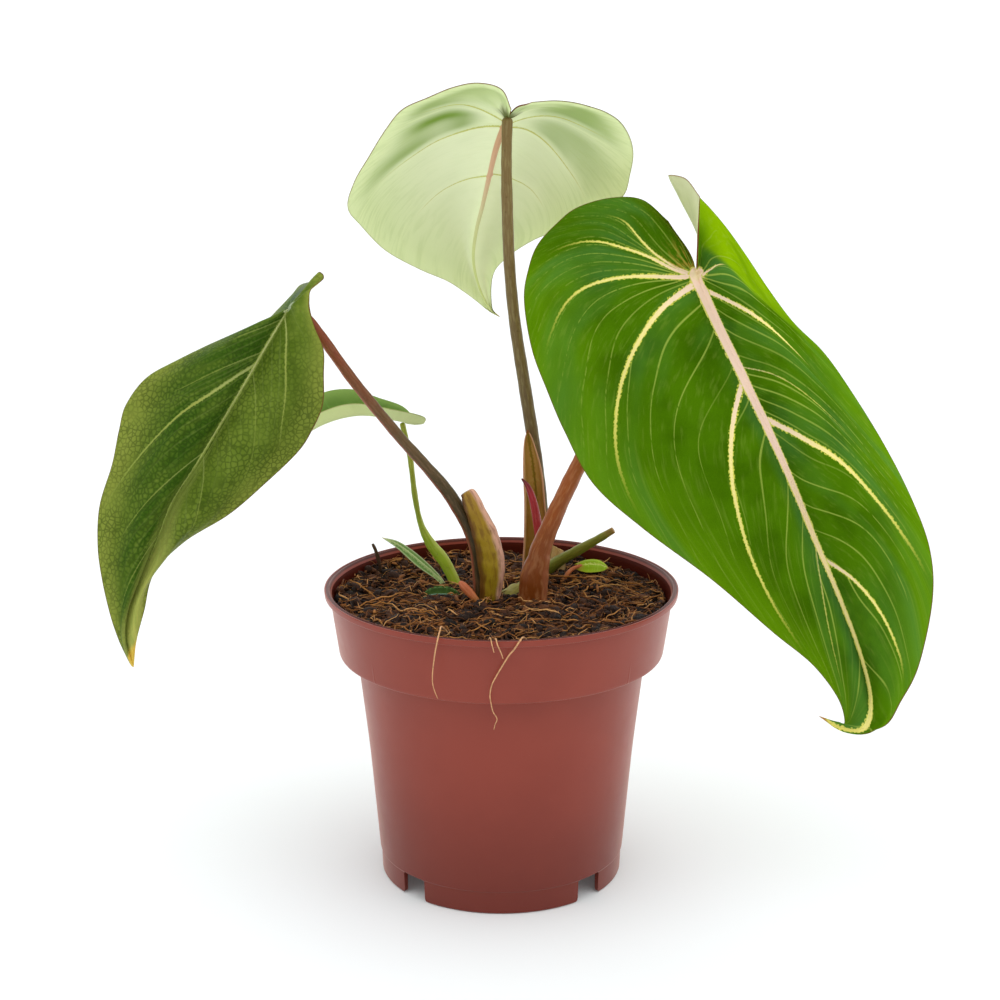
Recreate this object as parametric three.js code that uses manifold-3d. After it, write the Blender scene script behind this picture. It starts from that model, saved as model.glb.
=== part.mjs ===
// A young creeping philodendron with three heart-shaped leaves in a small nursery pot.
//
// Millimetres, +Z up. Everything is laid out about the pot's axis with the ground at z = 0 and the
// front of the plant towards -Y. At the end the group is moved so that the origin lies on the
// ground under the middle of the whole object's box.
import * as THREE from 'three';
import { mergeVertices } from 'three/addons/utils/BufferGeometryUtils.js';
import Module from 'manifold-3d';

const wasm = await Module();
wasm.setup();

// ---------------------------------------------------------------- driving dimensions

const GAP = 0.35; // clearance between neighbouring pieces
const MITRE_LIMIT = 0.5; // keeps a sharp corner from being moved out too far
const SLIVER = 0.05; // edges shorter than this, left by a cut, are drawn together

// The pot
const POT_HEIGHT = 101.5;
const RIM_RADIUS = 60; // outer edge of the lip
const LIP_HEIGHT = 2.3;
const LIP_WIDTH = 1.8; // of the flat top of the lip
const COLLAR_TOP_RADIUS = 58; // just under the lip
const COLLAR_FOOT_RADIUS = 55.3;
const COLLAR_FOOT = 79.4; // height at which the rim collar steps out of the body
const BODY_TOP_RADIUS = 49.3;
const BODY_MIDDLE = [45.4, 45]; // radius and height of the slight bend in the wall
const BODY_FOOT_RADIUS = 42.3;
const FOOT_HEIGHT = 8;
const FOOT_RADIUS = 41.6;
const FOOT_INNER_RADIUS = 40.2;
const WALL = 1;
const EASE = 0.3; // easing of the pot's edges
const FLOOR_LEVEL = 8.5; // underside of the raised floor
const FLOOR = 1.4; // its thickness
const FOOT_NOTCHES = 4;
const NOTCH_WIDTH = 10;
const NOTCH_DEPTH = 10; // of the cutter, across the foot ring
const NOTCH_CORNER = 1.5; // rounding of the feet's lower corners
const DRAIN_HOLES = 8;
const DRAIN_RADIUS = 3.5;
const DRAIN_CIRCLE = 27;
const POT_SEGMENTS = 48;

// The potting mix
const SOIL_SEGMENTS = 40;
const SOIL_CLEARANCE = 0.5; // between the mix and the pot's wall
const SOIL_LEVEL = 96;
const SOIL_RADIUS = 56.1; // at that level
const SOIL_RINGS = [50, 42, 34, 26, 17, 8, 0]; // radii at which the surface is raised and lowered
const SOIL_FRONT_RISE = 1.6; // the mix is heaped a little towards the front
const FIBRES = 30; // coarse coir fibres on the surface
const FIBRE_RADIUS = 0.5;
const FIBRE_LENGTH = 7; // the shortest; the longest is twice as long
const FIBRE_BOW = 2.5; // how far a fibre's middle may stand off its straight line, both ways together
const FIBRE_ROOT = 1.2; // depth of a fibre's ends in the mix
const FIBRE_REACH = 49; // how far from the axis a fibre's middle may lie
const FIBRE_SEED = 7;

// The leaves
const BLADE = 0.8; // thickness of a big leaf's blade
const SMALL_BLADE = 0.7; // thickness of the small leaves and scales
const MIDRIB_SWELL = 1.4; // how much thicker a big blade is along its midrib
const CROWN_SKEW = 0.3; // moves the highest part of a half blade towards the midrib
const FINEST_CELL = 1.8; // a narrow half blade has fewer cells across, none narrower than about this

// ---------------------------------------------------------------- finishes

const finish = (color, roughness) =>
  new THREE.MeshStandardMaterial({ color, roughness, metalness: 0 });

const FINISH = {
  pot: finish(0x85433b, 0.42),
  soil: finish(0x3c2415, 0.95),
  rhizome: finish(0x8a8a3e, 0.6),
  rightBlade: finish(0x3f7a18, 0.38),
  midBlade: finish(0xb9cf86, 0.5),
  leftBlade: finish(0x3c5a24, 0.36),
  orangeStalk: finish(0x9a5632, 0.42),
  oliveStalk: finish(0x66602f, 0.45),
  darkStalk: finish(0x5a3b26, 0.42),
  sheath: finish(0xa38a2c, 0.42),
  redShoot: finish(0xa32f33, 0.4),
  youngGreen: finish(0x8fae3a, 0.42),
  palePink: finish(0xc07a4a, 0.5),
  dryScale: finish(0xc9a468, 0.75),
  dryWood: finish(0x2a1c14, 0.8),
};

// ---------------------------------------------------------------- curves and surfaces

/** A smooth curve through rows of numbers of any length; t runs from 0 to 1 over all the rows. */
function spline(rows, t) {
  const last = rows.length - 1;
  const s = THREE.MathUtils.clamp(t, 0, 1) * last;
  const i = Math.min(Math.floor(s), last - 1);
  const u = s - i;
  return rows[i].map((b, k) => {
    const c = rows[i + 1][k];
    const a = i > 0 ? rows[i - 1][k] : 2 * b - c;
    const d = i < last - 1 ? rows[i + 2][k] : 2 * c - b;
    const bend = 2 * a - 5 * b + 4 * c - d;
    const twist = 3 * (b - c) + d - a;
    return b + 0.5 * u * (c - a + u * (bend + u * twist));
  });
}

/**
 * A closed tube through rows of [x, y, z, half width, half depth]; one radius stands for both. The
 * depth is measured along the direction deep, as far as the tube's own run leaves it.
 */
function tube(stations, { sides = 8, steps = 2, deep = [0, 1, 0] } = {}) {
  const rows = stations.map(([x, y, z, width, depth = width]) => [x, y, z, width, depth]);
  const at = (t) => new THREE.Vector3().fromArray(spline(rows, t));
  const count = (rows.length - 1) * steps;
  const toDepth = new THREE.Vector3(...deep);
  const positions = [];
  const push = (v) => positions.push(v.x, v.y, v.z);
  const ends = [];
  for (let i = 0; i <= count; i += 1) {
    const t = i / count;
    const [halfWidth, halfDepth] = spline(rows, t).slice(3);
    const run = at(Math.min(t + 1e-3, 1)).sub(at(Math.max(t - 1e-3, 0))).normalize();
    const depth = toDepth.clone().addScaledVector(run, -run.dot(toDepth)).normalize();
    const across = new THREE.Vector3().crossVectors(depth, run);
    const centre = at(t);
    if (i === 0 || i === count) ends.push(centre);
    for (let k = 0; k < sides; k += 1) {
      const angle = (2 * Math.PI * k) / sides;
      push(
        centre
          .clone()
          .addScaledVector(across, halfWidth * Math.cos(angle))
          .addScaledVector(depth, halfDepth * Math.sin(angle)),
      );
    }
  }
  ends.forEach(push);
  const index = [];
  const first = (count + 1) * sides;
  for (let k = 0; k < sides; k += 1) {
    const next = (k + 1) % sides;
    for (let i = 0; i < count; i += 1) {
      const [a, b] = [i * sides + k, i * sides + next];
      index.push(a, b, b + sides, a, b + sides, a + sides);
    }
    const top = count * sides;
    index.push(first, next, k, first + 1, top + k, top + next);
  }
  return geometryFrom(positions, index);
}

function geometryFrom(positions, index) {
  const geometry = new THREE.BufferGeometry();
  geometry.setAttribute('position', new THREE.Float32BufferAttribute(positions, 3));
  geometry.setIndex(index);
  return geometry;
}

/**
 * The middle surface of a leaf as a grid of [x, y, z, thickness].
 *
 * midrib: points from the stalk's joint to the tip.
 * ribs: rows of [place on the midrib, left margin x, y, z, right margin x, y, z] from the notch
 * between the lobes to the tip; the place is counted in midrib points, and 0 is the joint.
 * crownLeft, crownRight: how far the middle of each half stands off the straight line from midrib
 * to margin, as vectors spread evenly over the ribs.
 */
function leafGrid(leaf, { steps = 2, across = 5 } = {}) {
  const { midrib, ribs, crownLeft, crownRight, thickness = SMALL_BLADE, swell = 0 } = leaf;
  const rows = (ribs.length - 1) * steps;
  const grid = [];
  for (let i = 0; i <= rows; i += 1) {
    const t = i / rows;
    const [place, ...margins] = spline(ribs, t);
    const along = THREE.MathUtils.clamp(place / (midrib.length - 1), 0, 1);
    const source = spline(midrib, along);
    const half = (margin, crown, share) => {
      const width = Math.hypot(...margin.map((v, k) => v - source[k]));
      const cells = THREE.MathUtils.clamp(Math.round(width / FINEST_CELL), 1, across);
      const r = Math.round(share * cells) / cells;
      const arch = Math.sin(Math.PI * r) + CROWN_SKEW * Math.sin(2 * Math.PI * r);
      return source.map((s, k) => s + (margin[k] - s) * r + crown[k] * arch);
    };
    const left = spline(crownLeft, t);
    const right = spline(crownRight, t);
    const row = [];
    for (let j = -across; j <= across; j += 1) {
      const r = Math.abs(j) / across;
      const point = j < 0 ? half(margins.slice(0, 3), left, r) : half(margins.slice(3), right, r);
      const swollen = j === 0 ? swell * (1 - along) : 0;
      row.push([...point, thickness + swollen]);
    }
    grid.push(row);
  }
  return grid;
}

/** A grid of [x, y, z, thickness] as a closed sheet, split into triangles alike on both faces. */
function thicken(grid) {
  const ids = new Map();
  const points = [];
  const id = ([x, y, z, thick]) => {
    const key = [x, y, z].map((v) => v.toFixed(2)).join();
    if (!ids.has(key)) {
      ids.set(key, points.length);
      points.push({ at: new THREE.Vector3(x, y, z), normal: new THREE.Vector3(), thick });
    }
    return ids.get(key);
  };
  const triangles = [];
  const add = (...corners) => {
    if (new Set(corners).size === 3) triangles.push(corners);
  };
  for (let i = 0; i + 1 < grid.length; i += 1) {
    for (let j = 0; j + 1 < grid[i].length; j += 1) {
      const [a, b] = [id(grid[i][j]), id(grid[i][j + 1])];
      const [c, d] = [id(grid[i + 1][j]), id(grid[i + 1][j + 1])];
      add(a, c, b);
      add(b, c, d);
    }
  }
  const edges = new Set();
  for (const [a, b, c] of triangles) {
    const side = points[b].at.clone().sub(points[a].at);
    const face = side.cross(points[c].at.clone().sub(points[a].at));
    [a, b, c].forEach((k) => points[k].normal.add(face));
    edges.add(`${a},${b}`).add(`${b},${c}`).add(`${c},${a}`);
  }
  const count = points.length;
  const positions = [];
  for (const sign of [1, -1]) {
    for (const { at, normal, thick } of points) {
      positions.push(...at.clone().addScaledVector(normal.clone().normalize(), (sign * thick) / 2));
    }
  }
  const index = [];
  for (const [a, b, c] of triangles) index.push(a, b, c, count + a, count + c, count + b);
  for (const edge of edges) {
    const [a, b] = edge.split(',').map(Number);
    if (!edges.has(`${b},${a}`)) index.push(b, a, count + a, b, count + a, count + b);
  }
  return geometryFrom(positions, index);
}

// ---------------------------------------------------------------- joining and cutting

function solid(geometry) {
  const bare = geometry.clone();
  bare.deleteAttribute('normal');
  bare.deleteAttribute('uv');
  const merged = mergeVertices(bare, 1e-4);
  const index = merged.index.array;
  const triVerts = [];
  for (let i = 0; i < index.length; i += 3) {
    const corners = [index[i], index[i + 1], index[i + 2]];
    if (new Set(corners).size === 3) triVerts.push(...corners);
  }
  const vertProperties = new Float32Array(merged.attributes.position.array);
  return new wasm.Manifold(
    new wasm.Mesh({ numProp: 3, vertProperties, triVerts: new Uint32Array(triVerts) }),
  );
}

/** The same closed surface, with each corner moved out until its faces lie a distance further out. */
function grown(geometry, distance) {
  const merged = mergeVertices(geometry, 1e-4);
  const index = merged.index.array;
  const { position } = merged.attributes;
  const corner = (i) => new THREE.Vector3().fromBufferAttribute(position, i);
  const faces = Array.from({ length: position.count }, () => []);
  for (let i = 0; i < index.length; i += 3) {
    const triangle = new THREE.Triangle(...[0, 1, 2].map((k) => corner(index[i + k])));
    const normal = triangle.getNormal(new THREE.Vector3());
    [0, 1, 2].forEach((k) => faces[index[i + k]].push(normal));
  }
  faces.forEach((normals, i) => {
    const out = new THREE.Vector3();
    normals.forEach((normal) => out.add(normal));
    out.normalize();
    const lean = Math.min(...normals.map((normal) => normal.dot(out)));
    position.setXYZ(i, ...corner(i).addScaledVector(out, distance / Math.max(lean, MITRE_LIMIT)));
  });
  return merged;
}

/** The largest body of a solid, without the scraps that a cut may leave. */
function mainBody(cut) {
  return cut.decompose().sort((a, b) => b.volume() - a.volume())[0];
}

function fromSolid(body) {
  const mesh = mainBody(mainBody(body).simplify(SLIVER)).getMesh();
  const vertices = Array.from(mesh.vertProperties);
  return geometryFrom(vertices, Array.from(mesh.triVerts));
}

const cutBy = (body, cutters) => cutters.reduce((rest, cutter) => rest.subtract(cutter), body);

// ---------------------------------------------------------------- the pot

function potSolid() {
  const [bendRadius, bendHeight] = BODY_MIDDLE;
  const profile = [
    [0, FLOOR_LEVEL],
    [FOOT_INNER_RADIUS, FLOOR_LEVEL],
    [FOOT_INNER_RADIUS, 0],
    [FOOT_RADIUS, 0],
    [FOOT_RADIUS + EASE, FOOT_HEIGHT],
    [BODY_FOOT_RADIUS, FOOT_HEIGHT + EASE],
    [bendRadius, bendHeight],
    [BODY_TOP_RADIUS, COLLAR_FOOT],
    [COLLAR_FOOT_RADIUS - 2 * EASE, COLLAR_FOOT - EASE],
    [COLLAR_FOOT_RADIUS, COLLAR_FOOT + 2 * EASE],
    [COLLAR_TOP_RADIUS, POT_HEIGHT - LIP_HEIGHT],
    [RIM_RADIUS, POT_HEIGHT - LIP_HEIGHT + 3 * EASE],
    [RIM_RADIUS, POT_HEIGHT - EASE],
    [RIM_RADIUS - EASE, POT_HEIGHT],
    [RIM_RADIUS - LIP_WIDTH, POT_HEIGHT],
    [COLLAR_TOP_RADIUS - WALL, POT_HEIGHT - LIP_HEIGHT],
    [COLLAR_FOOT_RADIUS - WALL, COLLAR_FOOT + 1.6 * WALL],
    [BODY_TOP_RADIUS - WALL, COLLAR_FOOT + WALL],
    [bendRadius - WALL, bendHeight],
    [BODY_FOOT_RADIUS - WALL, FLOOR_LEVEL + FLOOR],
    [0, FLOOR_LEVEL + FLOOR],
  ];
  const shell = new THREE.LatheGeometry(
    profile.map(([r, z]) => new THREE.Vector2(r, z)),
    POT_SEGMENTS,
  );
  shell.rotateX(Math.PI / 2);

  const cutters = [];
  const half = NOTCH_WIDTH / 2;
  const opening = new THREE.Shape();
  opening.moveTo(-half - NOTCH_CORNER, -1);
  opening.lineTo(-half - NOTCH_CORNER, 0);
  opening.quadraticCurveTo(-half, 0, -half, NOTCH_CORNER);
  opening.lineTo(-half, FOOT_HEIGHT);
  opening.lineTo(half, FOOT_HEIGHT);
  opening.lineTo(half, NOTCH_CORNER);
  opening.quadraticCurveTo(half, 0, half + NOTCH_CORNER, 0);
  opening.lineTo(half + NOTCH_CORNER, -1);
  for (let k = 0; k < FOOT_NOTCHES; k += 1) {
    const cut = { depth: NOTCH_DEPTH, bevelEnabled: false, curveSegments: 3 };
    const notch = new THREE.ExtrudeGeometry(opening, cut);
    notch.rotateX(Math.PI / 2);
    notch.translate(0, FOOT_RADIUS + NOTCH_DEPTH / 2, 0);
    notch.rotateZ(((k + 0.5) * 2 * Math.PI) / FOOT_NOTCHES);
    cutters.push(solid(notch));
  }
  for (let k = 0; k < DRAIN_HOLES; k += 1) {
    const hole = new THREE.CylinderGeometry(DRAIN_RADIUS, DRAIN_RADIUS, 4 * FLOOR, 12);
    hole.rotateX(Math.PI / 2);
    hole.translate(DRAIN_CIRCLE, 0, FLOOR_LEVEL + FLOOR / 2);
    hole.rotateZ((k * 2 * Math.PI) / DRAIN_HOLES);
    cutters.push(solid(hole));
  }
  return cutBy(solid(shell), cutters);
}

// ---------------------------------------------------------------- the potting mix

/** Height of the mix's crumbly surface over a point of the pot's plan. */
function soilHeight(x, y) {
  const waves = 0.8 * Math.sin(0.31 * x + 0.8) * Math.cos(0.27 * y) + 0.6 * Math.sin(0.41 * x - 0.33 * y);
  const front = THREE.MathUtils.clamp(-y / RIM_RADIUS, 0, 1);
  return SOIL_LEVEL + waves + SOIL_FRONT_RISE * front;
}

/** A small repeatable random generator with values from 0 to 1. */
function randomFrom(seed) {
  let state = seed;
  return () => {
    state = (state * 1664525 + 1013904223) % 4294967296;
    return state / 4294967296;
  };
}

function soilSolid() {
  const [bendRadius, bendHeight] = BODY_MIDDLE;
  const inset = WALL + SOIL_CLEARANCE;
  const side = [
    [0, FLOOR_LEVEL + FLOOR + GAP],
    [BODY_FOOT_RADIUS - inset, FLOOR_LEVEL + FLOOR + GAP],
    [bendRadius - inset, bendHeight],
    [BODY_TOP_RADIUS - inset, COLLAR_FOOT + 1.5 * WALL],
    [COLLAR_FOOT_RADIUS - inset, COLLAR_FOOT + 2 * WALL],
    [SOIL_RADIUS, SOIL_LEVEL],
  ];
  const top = SOIL_RINGS.map((r) => [r, SOIL_LEVEL]);
  const heap = new THREE.LatheGeometry(
    [...side, ...top].map(([r, z]) => new THREE.Vector2(r, z)),
    SOIL_SEGMENTS,
  );
  heap.rotateX(Math.PI / 2);
  const place = heap.attributes.position;
  for (let i = 0; i < place.count; i += 1) {
    if (place.getZ(i) > SOIL_LEVEL - 1) place.setZ(i, soilHeight(place.getX(i), place.getY(i)));
  }
  const random = randomFrom(FIBRE_SEED);
  let body = solid(heap);
  for (let n = 0; n < FIBRES; n += 1) {
    const reach = FIBRE_REACH * Math.sqrt(random());
    const round = 2 * Math.PI * random();
    const heading = 2 * Math.PI * random();
    const length = FIBRE_LENGTH * (1 + random());
    const bow = FIBRE_BOW * (random() - 0.5);
    const rise = FIBRE_RADIUS * (1 + 1.4 * random());
    const rows = [-0.5, 0, 0.5].map((s) => {
      const sideways = s === 0 ? bow : 0;
      const x = reach * Math.cos(round) + s * length * Math.cos(heading) - sideways * Math.sin(heading);
      const y = reach * Math.sin(round) + s * length * Math.sin(heading) + sideways * Math.cos(heading);
      return [x, y, soilHeight(x, y) + (s === 0 ? rise : -FIBRE_ROOT), FIBRE_RADIUS];
    });
    if (rows.every(([x, y]) => Math.hypot(x, y) < SOIL_RADIUS - 1)) {
      body = body.add(solid(tube(rows, { sides: 4, steps: 1, deep: [0, 0, 1] })));
    }
  }
  return body;
}

// ---------------------------------------------------------------- stalks, sheaths and shoots
// Rows of [x, y, z, half width, half depth], the foot last.

const RIGHT_PETIOLE = [
  [65, 3, 207.5, 2.3],
  [61.5, 9, 200, 2.4],
  [50, 11, 183.5, 2.5],
  [36.5, 6, 162.5, 2.6],
  [26.5, 2, 144, 2.7],
  [18.5, -1, 127.5, 2.9],
  [13.7, -2.5, 115.5, 3.3, 3],
  [12.7, -2.8, 111, 3.8, 3.3],
  [11.3, -3, 105, 4.6, 3.8],
  [10.6, -3, 91, 4.8, 4],
];
const MID_PETIOLE = [
  [2, 19.5, 257, 1.8],
  [1.7, 19.8, 243, 1.75],
  [1.9, 20, 229.5, 1.9],
  [2.7, 21, 208, 1.95],
  [4.5, 22, 188.5, 2],
  [7.7, 23, 167.5, 2.15],
  [10.5, 23.5, 150, 2.2],
  [12.8, 24, 135.5, 2],
  [14.3, 24, 121.5, 2],
  [14.8, 24, 108.5, 2],
  [15, 24, 90, 2.1],
];
const LEFT_PETIOLE = [
  [-69.5, -3, 197.5, 1.6],
  [-62.9, 3, 191, 1.7],
  [-49.2, 3, 171.5, 1.8],
  [-34.4, 2, 153, 1.85],
  [-25.2, 1.5, 142.5, 1.95],
  [-17.5, 1, 133, 2.25],
  [-11.6, 0.5, 122.5, 2.15],
  [-8.7, 0, 114, 2.1],
  [-7.5, 0, 103.5, 2.2],
  [-6.5, 0, 90, 2.4],
];
const YOUNG_PETIOLE = [
  [-34.2, 26.9, 151.2, 0.95],
  [-33, 26, 146, 0.95],
  [-31.5, 25, 139, 0.95],
  [-30, 23, 126.5, 1],
  [-28, 21.5, 117, 1.05],
  [-24.5, 20.2, 110, 1.9, 1.5],
  [-19.5, 19, 103.5, 2.1, 1.6],
  [-14, 18, 92, 1.7, 1.5],
];
const CUT_PETIOLE = [
  [39.4, 27, 113.2, 1.1],
  [33, 28, 109, 1.5],
  [25.5, 30, 104, 1.8],
  [19.5, 31, 100, 2.1],
  [13, 32, 94, 2.2],
];
const LEFT_SHEATH = [
  [-11.6, -1.5, 134.3, 2.2, 1.5],
  [-10.4, -1.7, 132.3, 2.9, 2.1],
  [-7.2, -1.8, 124.8, 3.5, 2.7],
  [-5.1, -1.8, 119.2, 4.1, 3.1],
  [-3.7, -1.8, 112.9, 4.4, 3.4],
  [-3, -1.8, 106.5, 4.2, 3.3],
  [-3.4, -1.8, 100.2, 3.5, 3],
  [-4.4, -1.8, 92, 2.6, 2.4],
];
const RED_SHOOT = [
  [7, 6, 137, 0.3],
  [9, 6, 134.3, 0.9],
  [10.7, 6.3, 129.5, 1.25],
  [12, 6.8, 123, 1.45],
  [13, 6.8, 115.5, 1.6],
  [13, 6.6, 106, 1.7],
  [12, 6.2, 91, 1.7],
];
const BUD_SCALE = [
  [-14, -2, 102.9, 0.7, 0.5],
  [-12.7, -3.4, 101.9, 1.4, 0.8],
  [-10.4, -4.9, 99.9, 1.4, 0.9],
  [-8.2, -6, 97.2, 1.2, 0.9],
  [-6.6, -6.4, 92, 1, 0.9],
];
const DRY_TWIG = [
  [-45.4, 30, 107.1, 0.4],
  [-44.2, 30, 104.1, 0.6],
  [-43, 30, 99, 0.7],
  [-42.4, 30, 92, 0.7],
];
const RHIZOME = [
  [16.5, 37, 89.5, 4],
  [12.5, 24, 92, 5.4],
  [7.3, 10, 94.2, 5.2],
  [0, 1, 91.5, 5.2],
  [-5, -5, 88.5, 3.5],
];

// ---------------------------------------------------------------- leaves

const RIGHT_BLADE = {
  thickness: BLADE,
  swell: MIDRIB_SWELL,
  midrib: [
    [64, 4, 206.5],
    [71.5, -1, 190.5],
    [79.5, -6, 174.5],
    [87, -10.5, 159],
    [94.5, -15.5, 142.5],
    [101.5, -20.5, 125.5],
    [109, -25.5, 108.5],
    [116, -31, 91],
    [120, -36.5, 76],
    [118, -43, 67],
    [111.5, -40, 65],
    [104, -34, 67],
  ],
  ribs: [
    [0, 55, 11, 223.3, 63.5, -5, 233],
    [0, 46.5, 15, 229.9, 59, -3, 238.5],
    [0, 36, 16.5, 230.3, 54, 3, 239],
    [0, 25, 17, 227, 60, 12, 235.5],
    [0, 18, 16.5, 221.5, 69.5, 28, 226.5],
    [0, 12, 14.5, 215, 77.5, 38, 217.5],
    [0, 9, 12, 207.5, 85, 42, 207.5],
    [0, 7.5, 9, 197.5, 93, 42, 196],
    [0, 10, 4.5, 182, 101.5, 38, 185],
    [0.3, 15, -0.5, 169, 111, 30, 176],
    [0.7, 21, -4.5, 155.5, 118.5, 18, 165.5],
    [1.3, 30.5, -9.5, 139, 127, -2, 151],
    [2.2, 47, -14.5, 125, 134, -18, 136],
    [3.5, 69.5, -19.5, 109, 138.5, -28, 122],
    [4.8, 89, -25, 93, 138.5, -36, 107.5],
    [6.1, 102, -29, 83, 134, -42, 87.5],
    [7.4, 110, -33, 73, 128.5, -44, 76],
    [8.7, 112, -36.5, 66, 123.5, -43, 67],
    [9.9, 109.5, -38, 66.5, 112, -39, 63.5],
    [11, 104, -34, 67, 104, -34, 67],
  ],
  crownLeft: [
    [1, -1, 0.5],
    [0, -5, 1.5],
    [0, -6, 1.5],
    [0, -6, 1.5],
    [0, -5, 1.5],
    [0, -3, 1],
    [0, 0, 0],
  ],
  crownRight: [
    [-0.3, -3, 0],
    [3, 0, 0],
    [4, -6, -1],
    [3, -18, 1],
    [2, -20, 2],
    [2, -16, 2],
    [1, -9, 2],
    [0, -6, 1.5],
    [0, -5, 1.5],
    [0, -3, 0],
    [0, 0, 0],
  ],
};

const LEFT_BLADE = {
  thickness: BLADE,
  swell: MIDRIB_SWELL,
  midrib: [
    [-69, -2, 197],
    [-76.5, -6, 185],
    [-84, -9, 172.5],
    [-92, -12, 159.5],
    [-99.5, -15, 147.5],
    [-107.5, -17, 135.5],
    [-112.5, -19, 123.5],
    [-118, -21, 111],
    [-122.5, -23, 100],
    [-123.5, -25, 91],
    [-121, -27, 81.5],
  ],
  ribs: [
    [0, -63, 13, 203, -61.8, 8, 205.4],
    [0, -67.5, 18, 201, -59.8, 7, 207],
    [0, -70, 20, 198, -58.4, 5, 205.3],
    [0, -74.5, 18, 193.5, -62, 0, 202.5],
    [0, -81, 10, 188, -62.5, -3, 199],
    [0, -89.5, 4, 185.5, -62, -5, 195.5],
    [0.2, -102.5, 0, 180.5, -60.5, -6, 190.5],
    [0.5, -116, -2, 174, -58, -6, 183.5],
    [1, -123.5, -4, 165, -58, -7, 175.5],
    [1.6, -126, -6, 156.5, -58.5, -8, 165.5],
    [2.3, -128, -10, 146, -62.5, -9, 156.5],
    [3.2, -132, -14, 133, -67, -10, 150],
    [4.2, -132.5, -18, 120.5, -77, -11, 140.5],
    [5.3, -131, -21, 109.5, -89.5, -13, 130],
    [6.4, -128.5, -23, 98, -104.5, -15, 121],
    [7.6, -126, -24, 90, -114.5, -18, 111],
    [8.7, -123.5, -25, 84.5, -117.5, -22, 99.5],
    [9.5, -122, -26, 82, -120, -25, 90],
    [10, -121, -27, 81.5, -121, -27, 81.5],
  ],
  crownLeft: [
    [0, -1, 0],
    [0, -3, -0.5],
    [1, -6, 1],
    [1, -7, 3],
    [0, -6, 2],
    [0, -4, 1],
    [0, 0, 0],
  ],
  crownRight: [
    [0, 0, 0],
    [0, -3, 0],
    [1, -5, 0],
    [1, -6, 0],
    [1, -6, 0],
    [1, -3, 0],
    [0, 0, 0],
  ],
};

const MID_BLADE = {
  thickness: BLADE,
  swell: MIDRIB_SWELL,
  midrib: [
    [2, 20, 256],
    [-1.5, 28.5, 246.5],
    [-4, 38.5, 236],
    [-6.5, 49, 224.5],
    [-9, 58.5, 213.5],
    [-10, 68.5, 202.5],
    [-8, 79.5, 191],
    [-4, 87.5, 181.5],
    [-0.5, 91.5, 178],
  ],
  ribs: [
    [0, 10, 15, 261.5, 3.2, 14, 259.3],
    [0, 17, 14.5, 262, 0, 10, 265.9],
    [0, 23, 15, 261.5, -7.5, 9.5, 267.9],
    [0, 29, 16.5, 260, -15.5, 11, 266.5],
    [0, 34.5, 18, 258, -24, 14, 263],
    [0, 39.5, 21.5, 254.5, -32.5, 17, 259],
    [0, 43, 26.5, 249, -38.5, 24, 252],
    [0.2, 44.5, 32, 243, -45, 33, 242],
    [0.5, 44, 38.5, 236, -50.5, 41, 233],
    [0.9, 42.5, 45, 228.5, -53.5, 49.5, 223.5],
    [1.4, 37, 50, 223, -49.5, 56, 216.5],
    [2.1, 29.5, 55, 218, -41.5, 65.5, 206.5],
    [3, 20.5, 57.5, 214.5, -30, 72, 199],
    [4, 12, 61, 211, -20, 76.5, 194],
    [5, 2.5, 67.5, 204, -14, 80.5, 189.5],
    [5.9, -3, 75, 196, -9, 85, 185],
    [7, -3.4, 86.5, 182.5, -4.8, 88, 181],
    [8, -0.5, 91.5, 178, -0.5, 91.5, 178],
  ],
  crownLeft: [
    [0, -1.5, 1.5],
    [0, 4, 1.6],
    [0, 5, 5],
    [0, 4, 4],
    [0, 2, 2],
    [0, 0, 0],
  ],
  crownRight: [
    [0.3, -0.5, 0],
    [0, 4, 4],
    [0, 5, 5],
    [0, 4, 4],
    [0, 2, 2],
    [0, 0, 0],
  ],
};

const YOUNG_BLADE = {
  midrib: [
    [-34.5, 27, 153],
    [-45, 26.5, 155.5],
    [-53.5, 24.5, 155],
    [-62, 23.5, 152],
    [-70, 23, 147],
    [-77, 22, 140],
  ],
  ribs: [
    [0, -33, 30.5, 152.5, -30, 26, 151.3],
    [0, -31.5, 32, 153.5, -26.7, 24, 152.3],
    [0, -35, 33.5, 156.5, -27, 22.5, 155],
    [0.4, -43, 35, 159, -37, 21, 157.8],
    [1.3, -52, 37, 161.5, -50, 20.5, 160],
    [2.3, -61.5, 35, 161, -60, 19, 158],
    [3.3, -69, 31, 157, -68, 19, 153],
    [4.2, -74, 27, 150, -73, 20, 147],
    [5, -77, 22, 140, -77, 22, 140],
  ],
  crownLeft: [
    [0, 0.5, -0.5],
    [0, 1.5, -1.5],
    [0, 0, 0],
  ],
  crownRight: [
    [0, 0, -0.5],
    [0, -1, -1.5],
    [0, 0, 0],
  ],
};

const MID_SHEATH = {
  midrib: [
    [10.5, 15, 91],
    [11.5, 17, 104],
    [12, 18.5, 116],
    [12, 19.5, 128],
    [11, 20, 138],
    [9.5, 20.5, 147],
    [9, 20, 151],
  ],
  ribs: [
    [0, 15, 11.5, 91, 6.8, 9, 91],
    [1, 16, 13.5, 104, 7.2, 10, 103.5],
    [2, 16.3, 15, 116.5, 7.8, 12, 114],
    [3, 15.2, 16, 124, 7.9, 14, 127],
    [4, 14, 17, 136.5, 7.5, 16, 137.5],
    [5, 11, 19, 147, 7.8, 18.5, 146.5],
    [6, 9, 20, 151, 9, 20, 151],
  ],
  crownLeft: [
    [1, 1.2, 0],
    [1, 1, 0],
    [0, 0, 0],
  ],
  crownRight: [
    [-1.5, 1, 0],
    [-1.2, 0.8, 0],
    [0, 0, 0],
  ],
};

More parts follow.
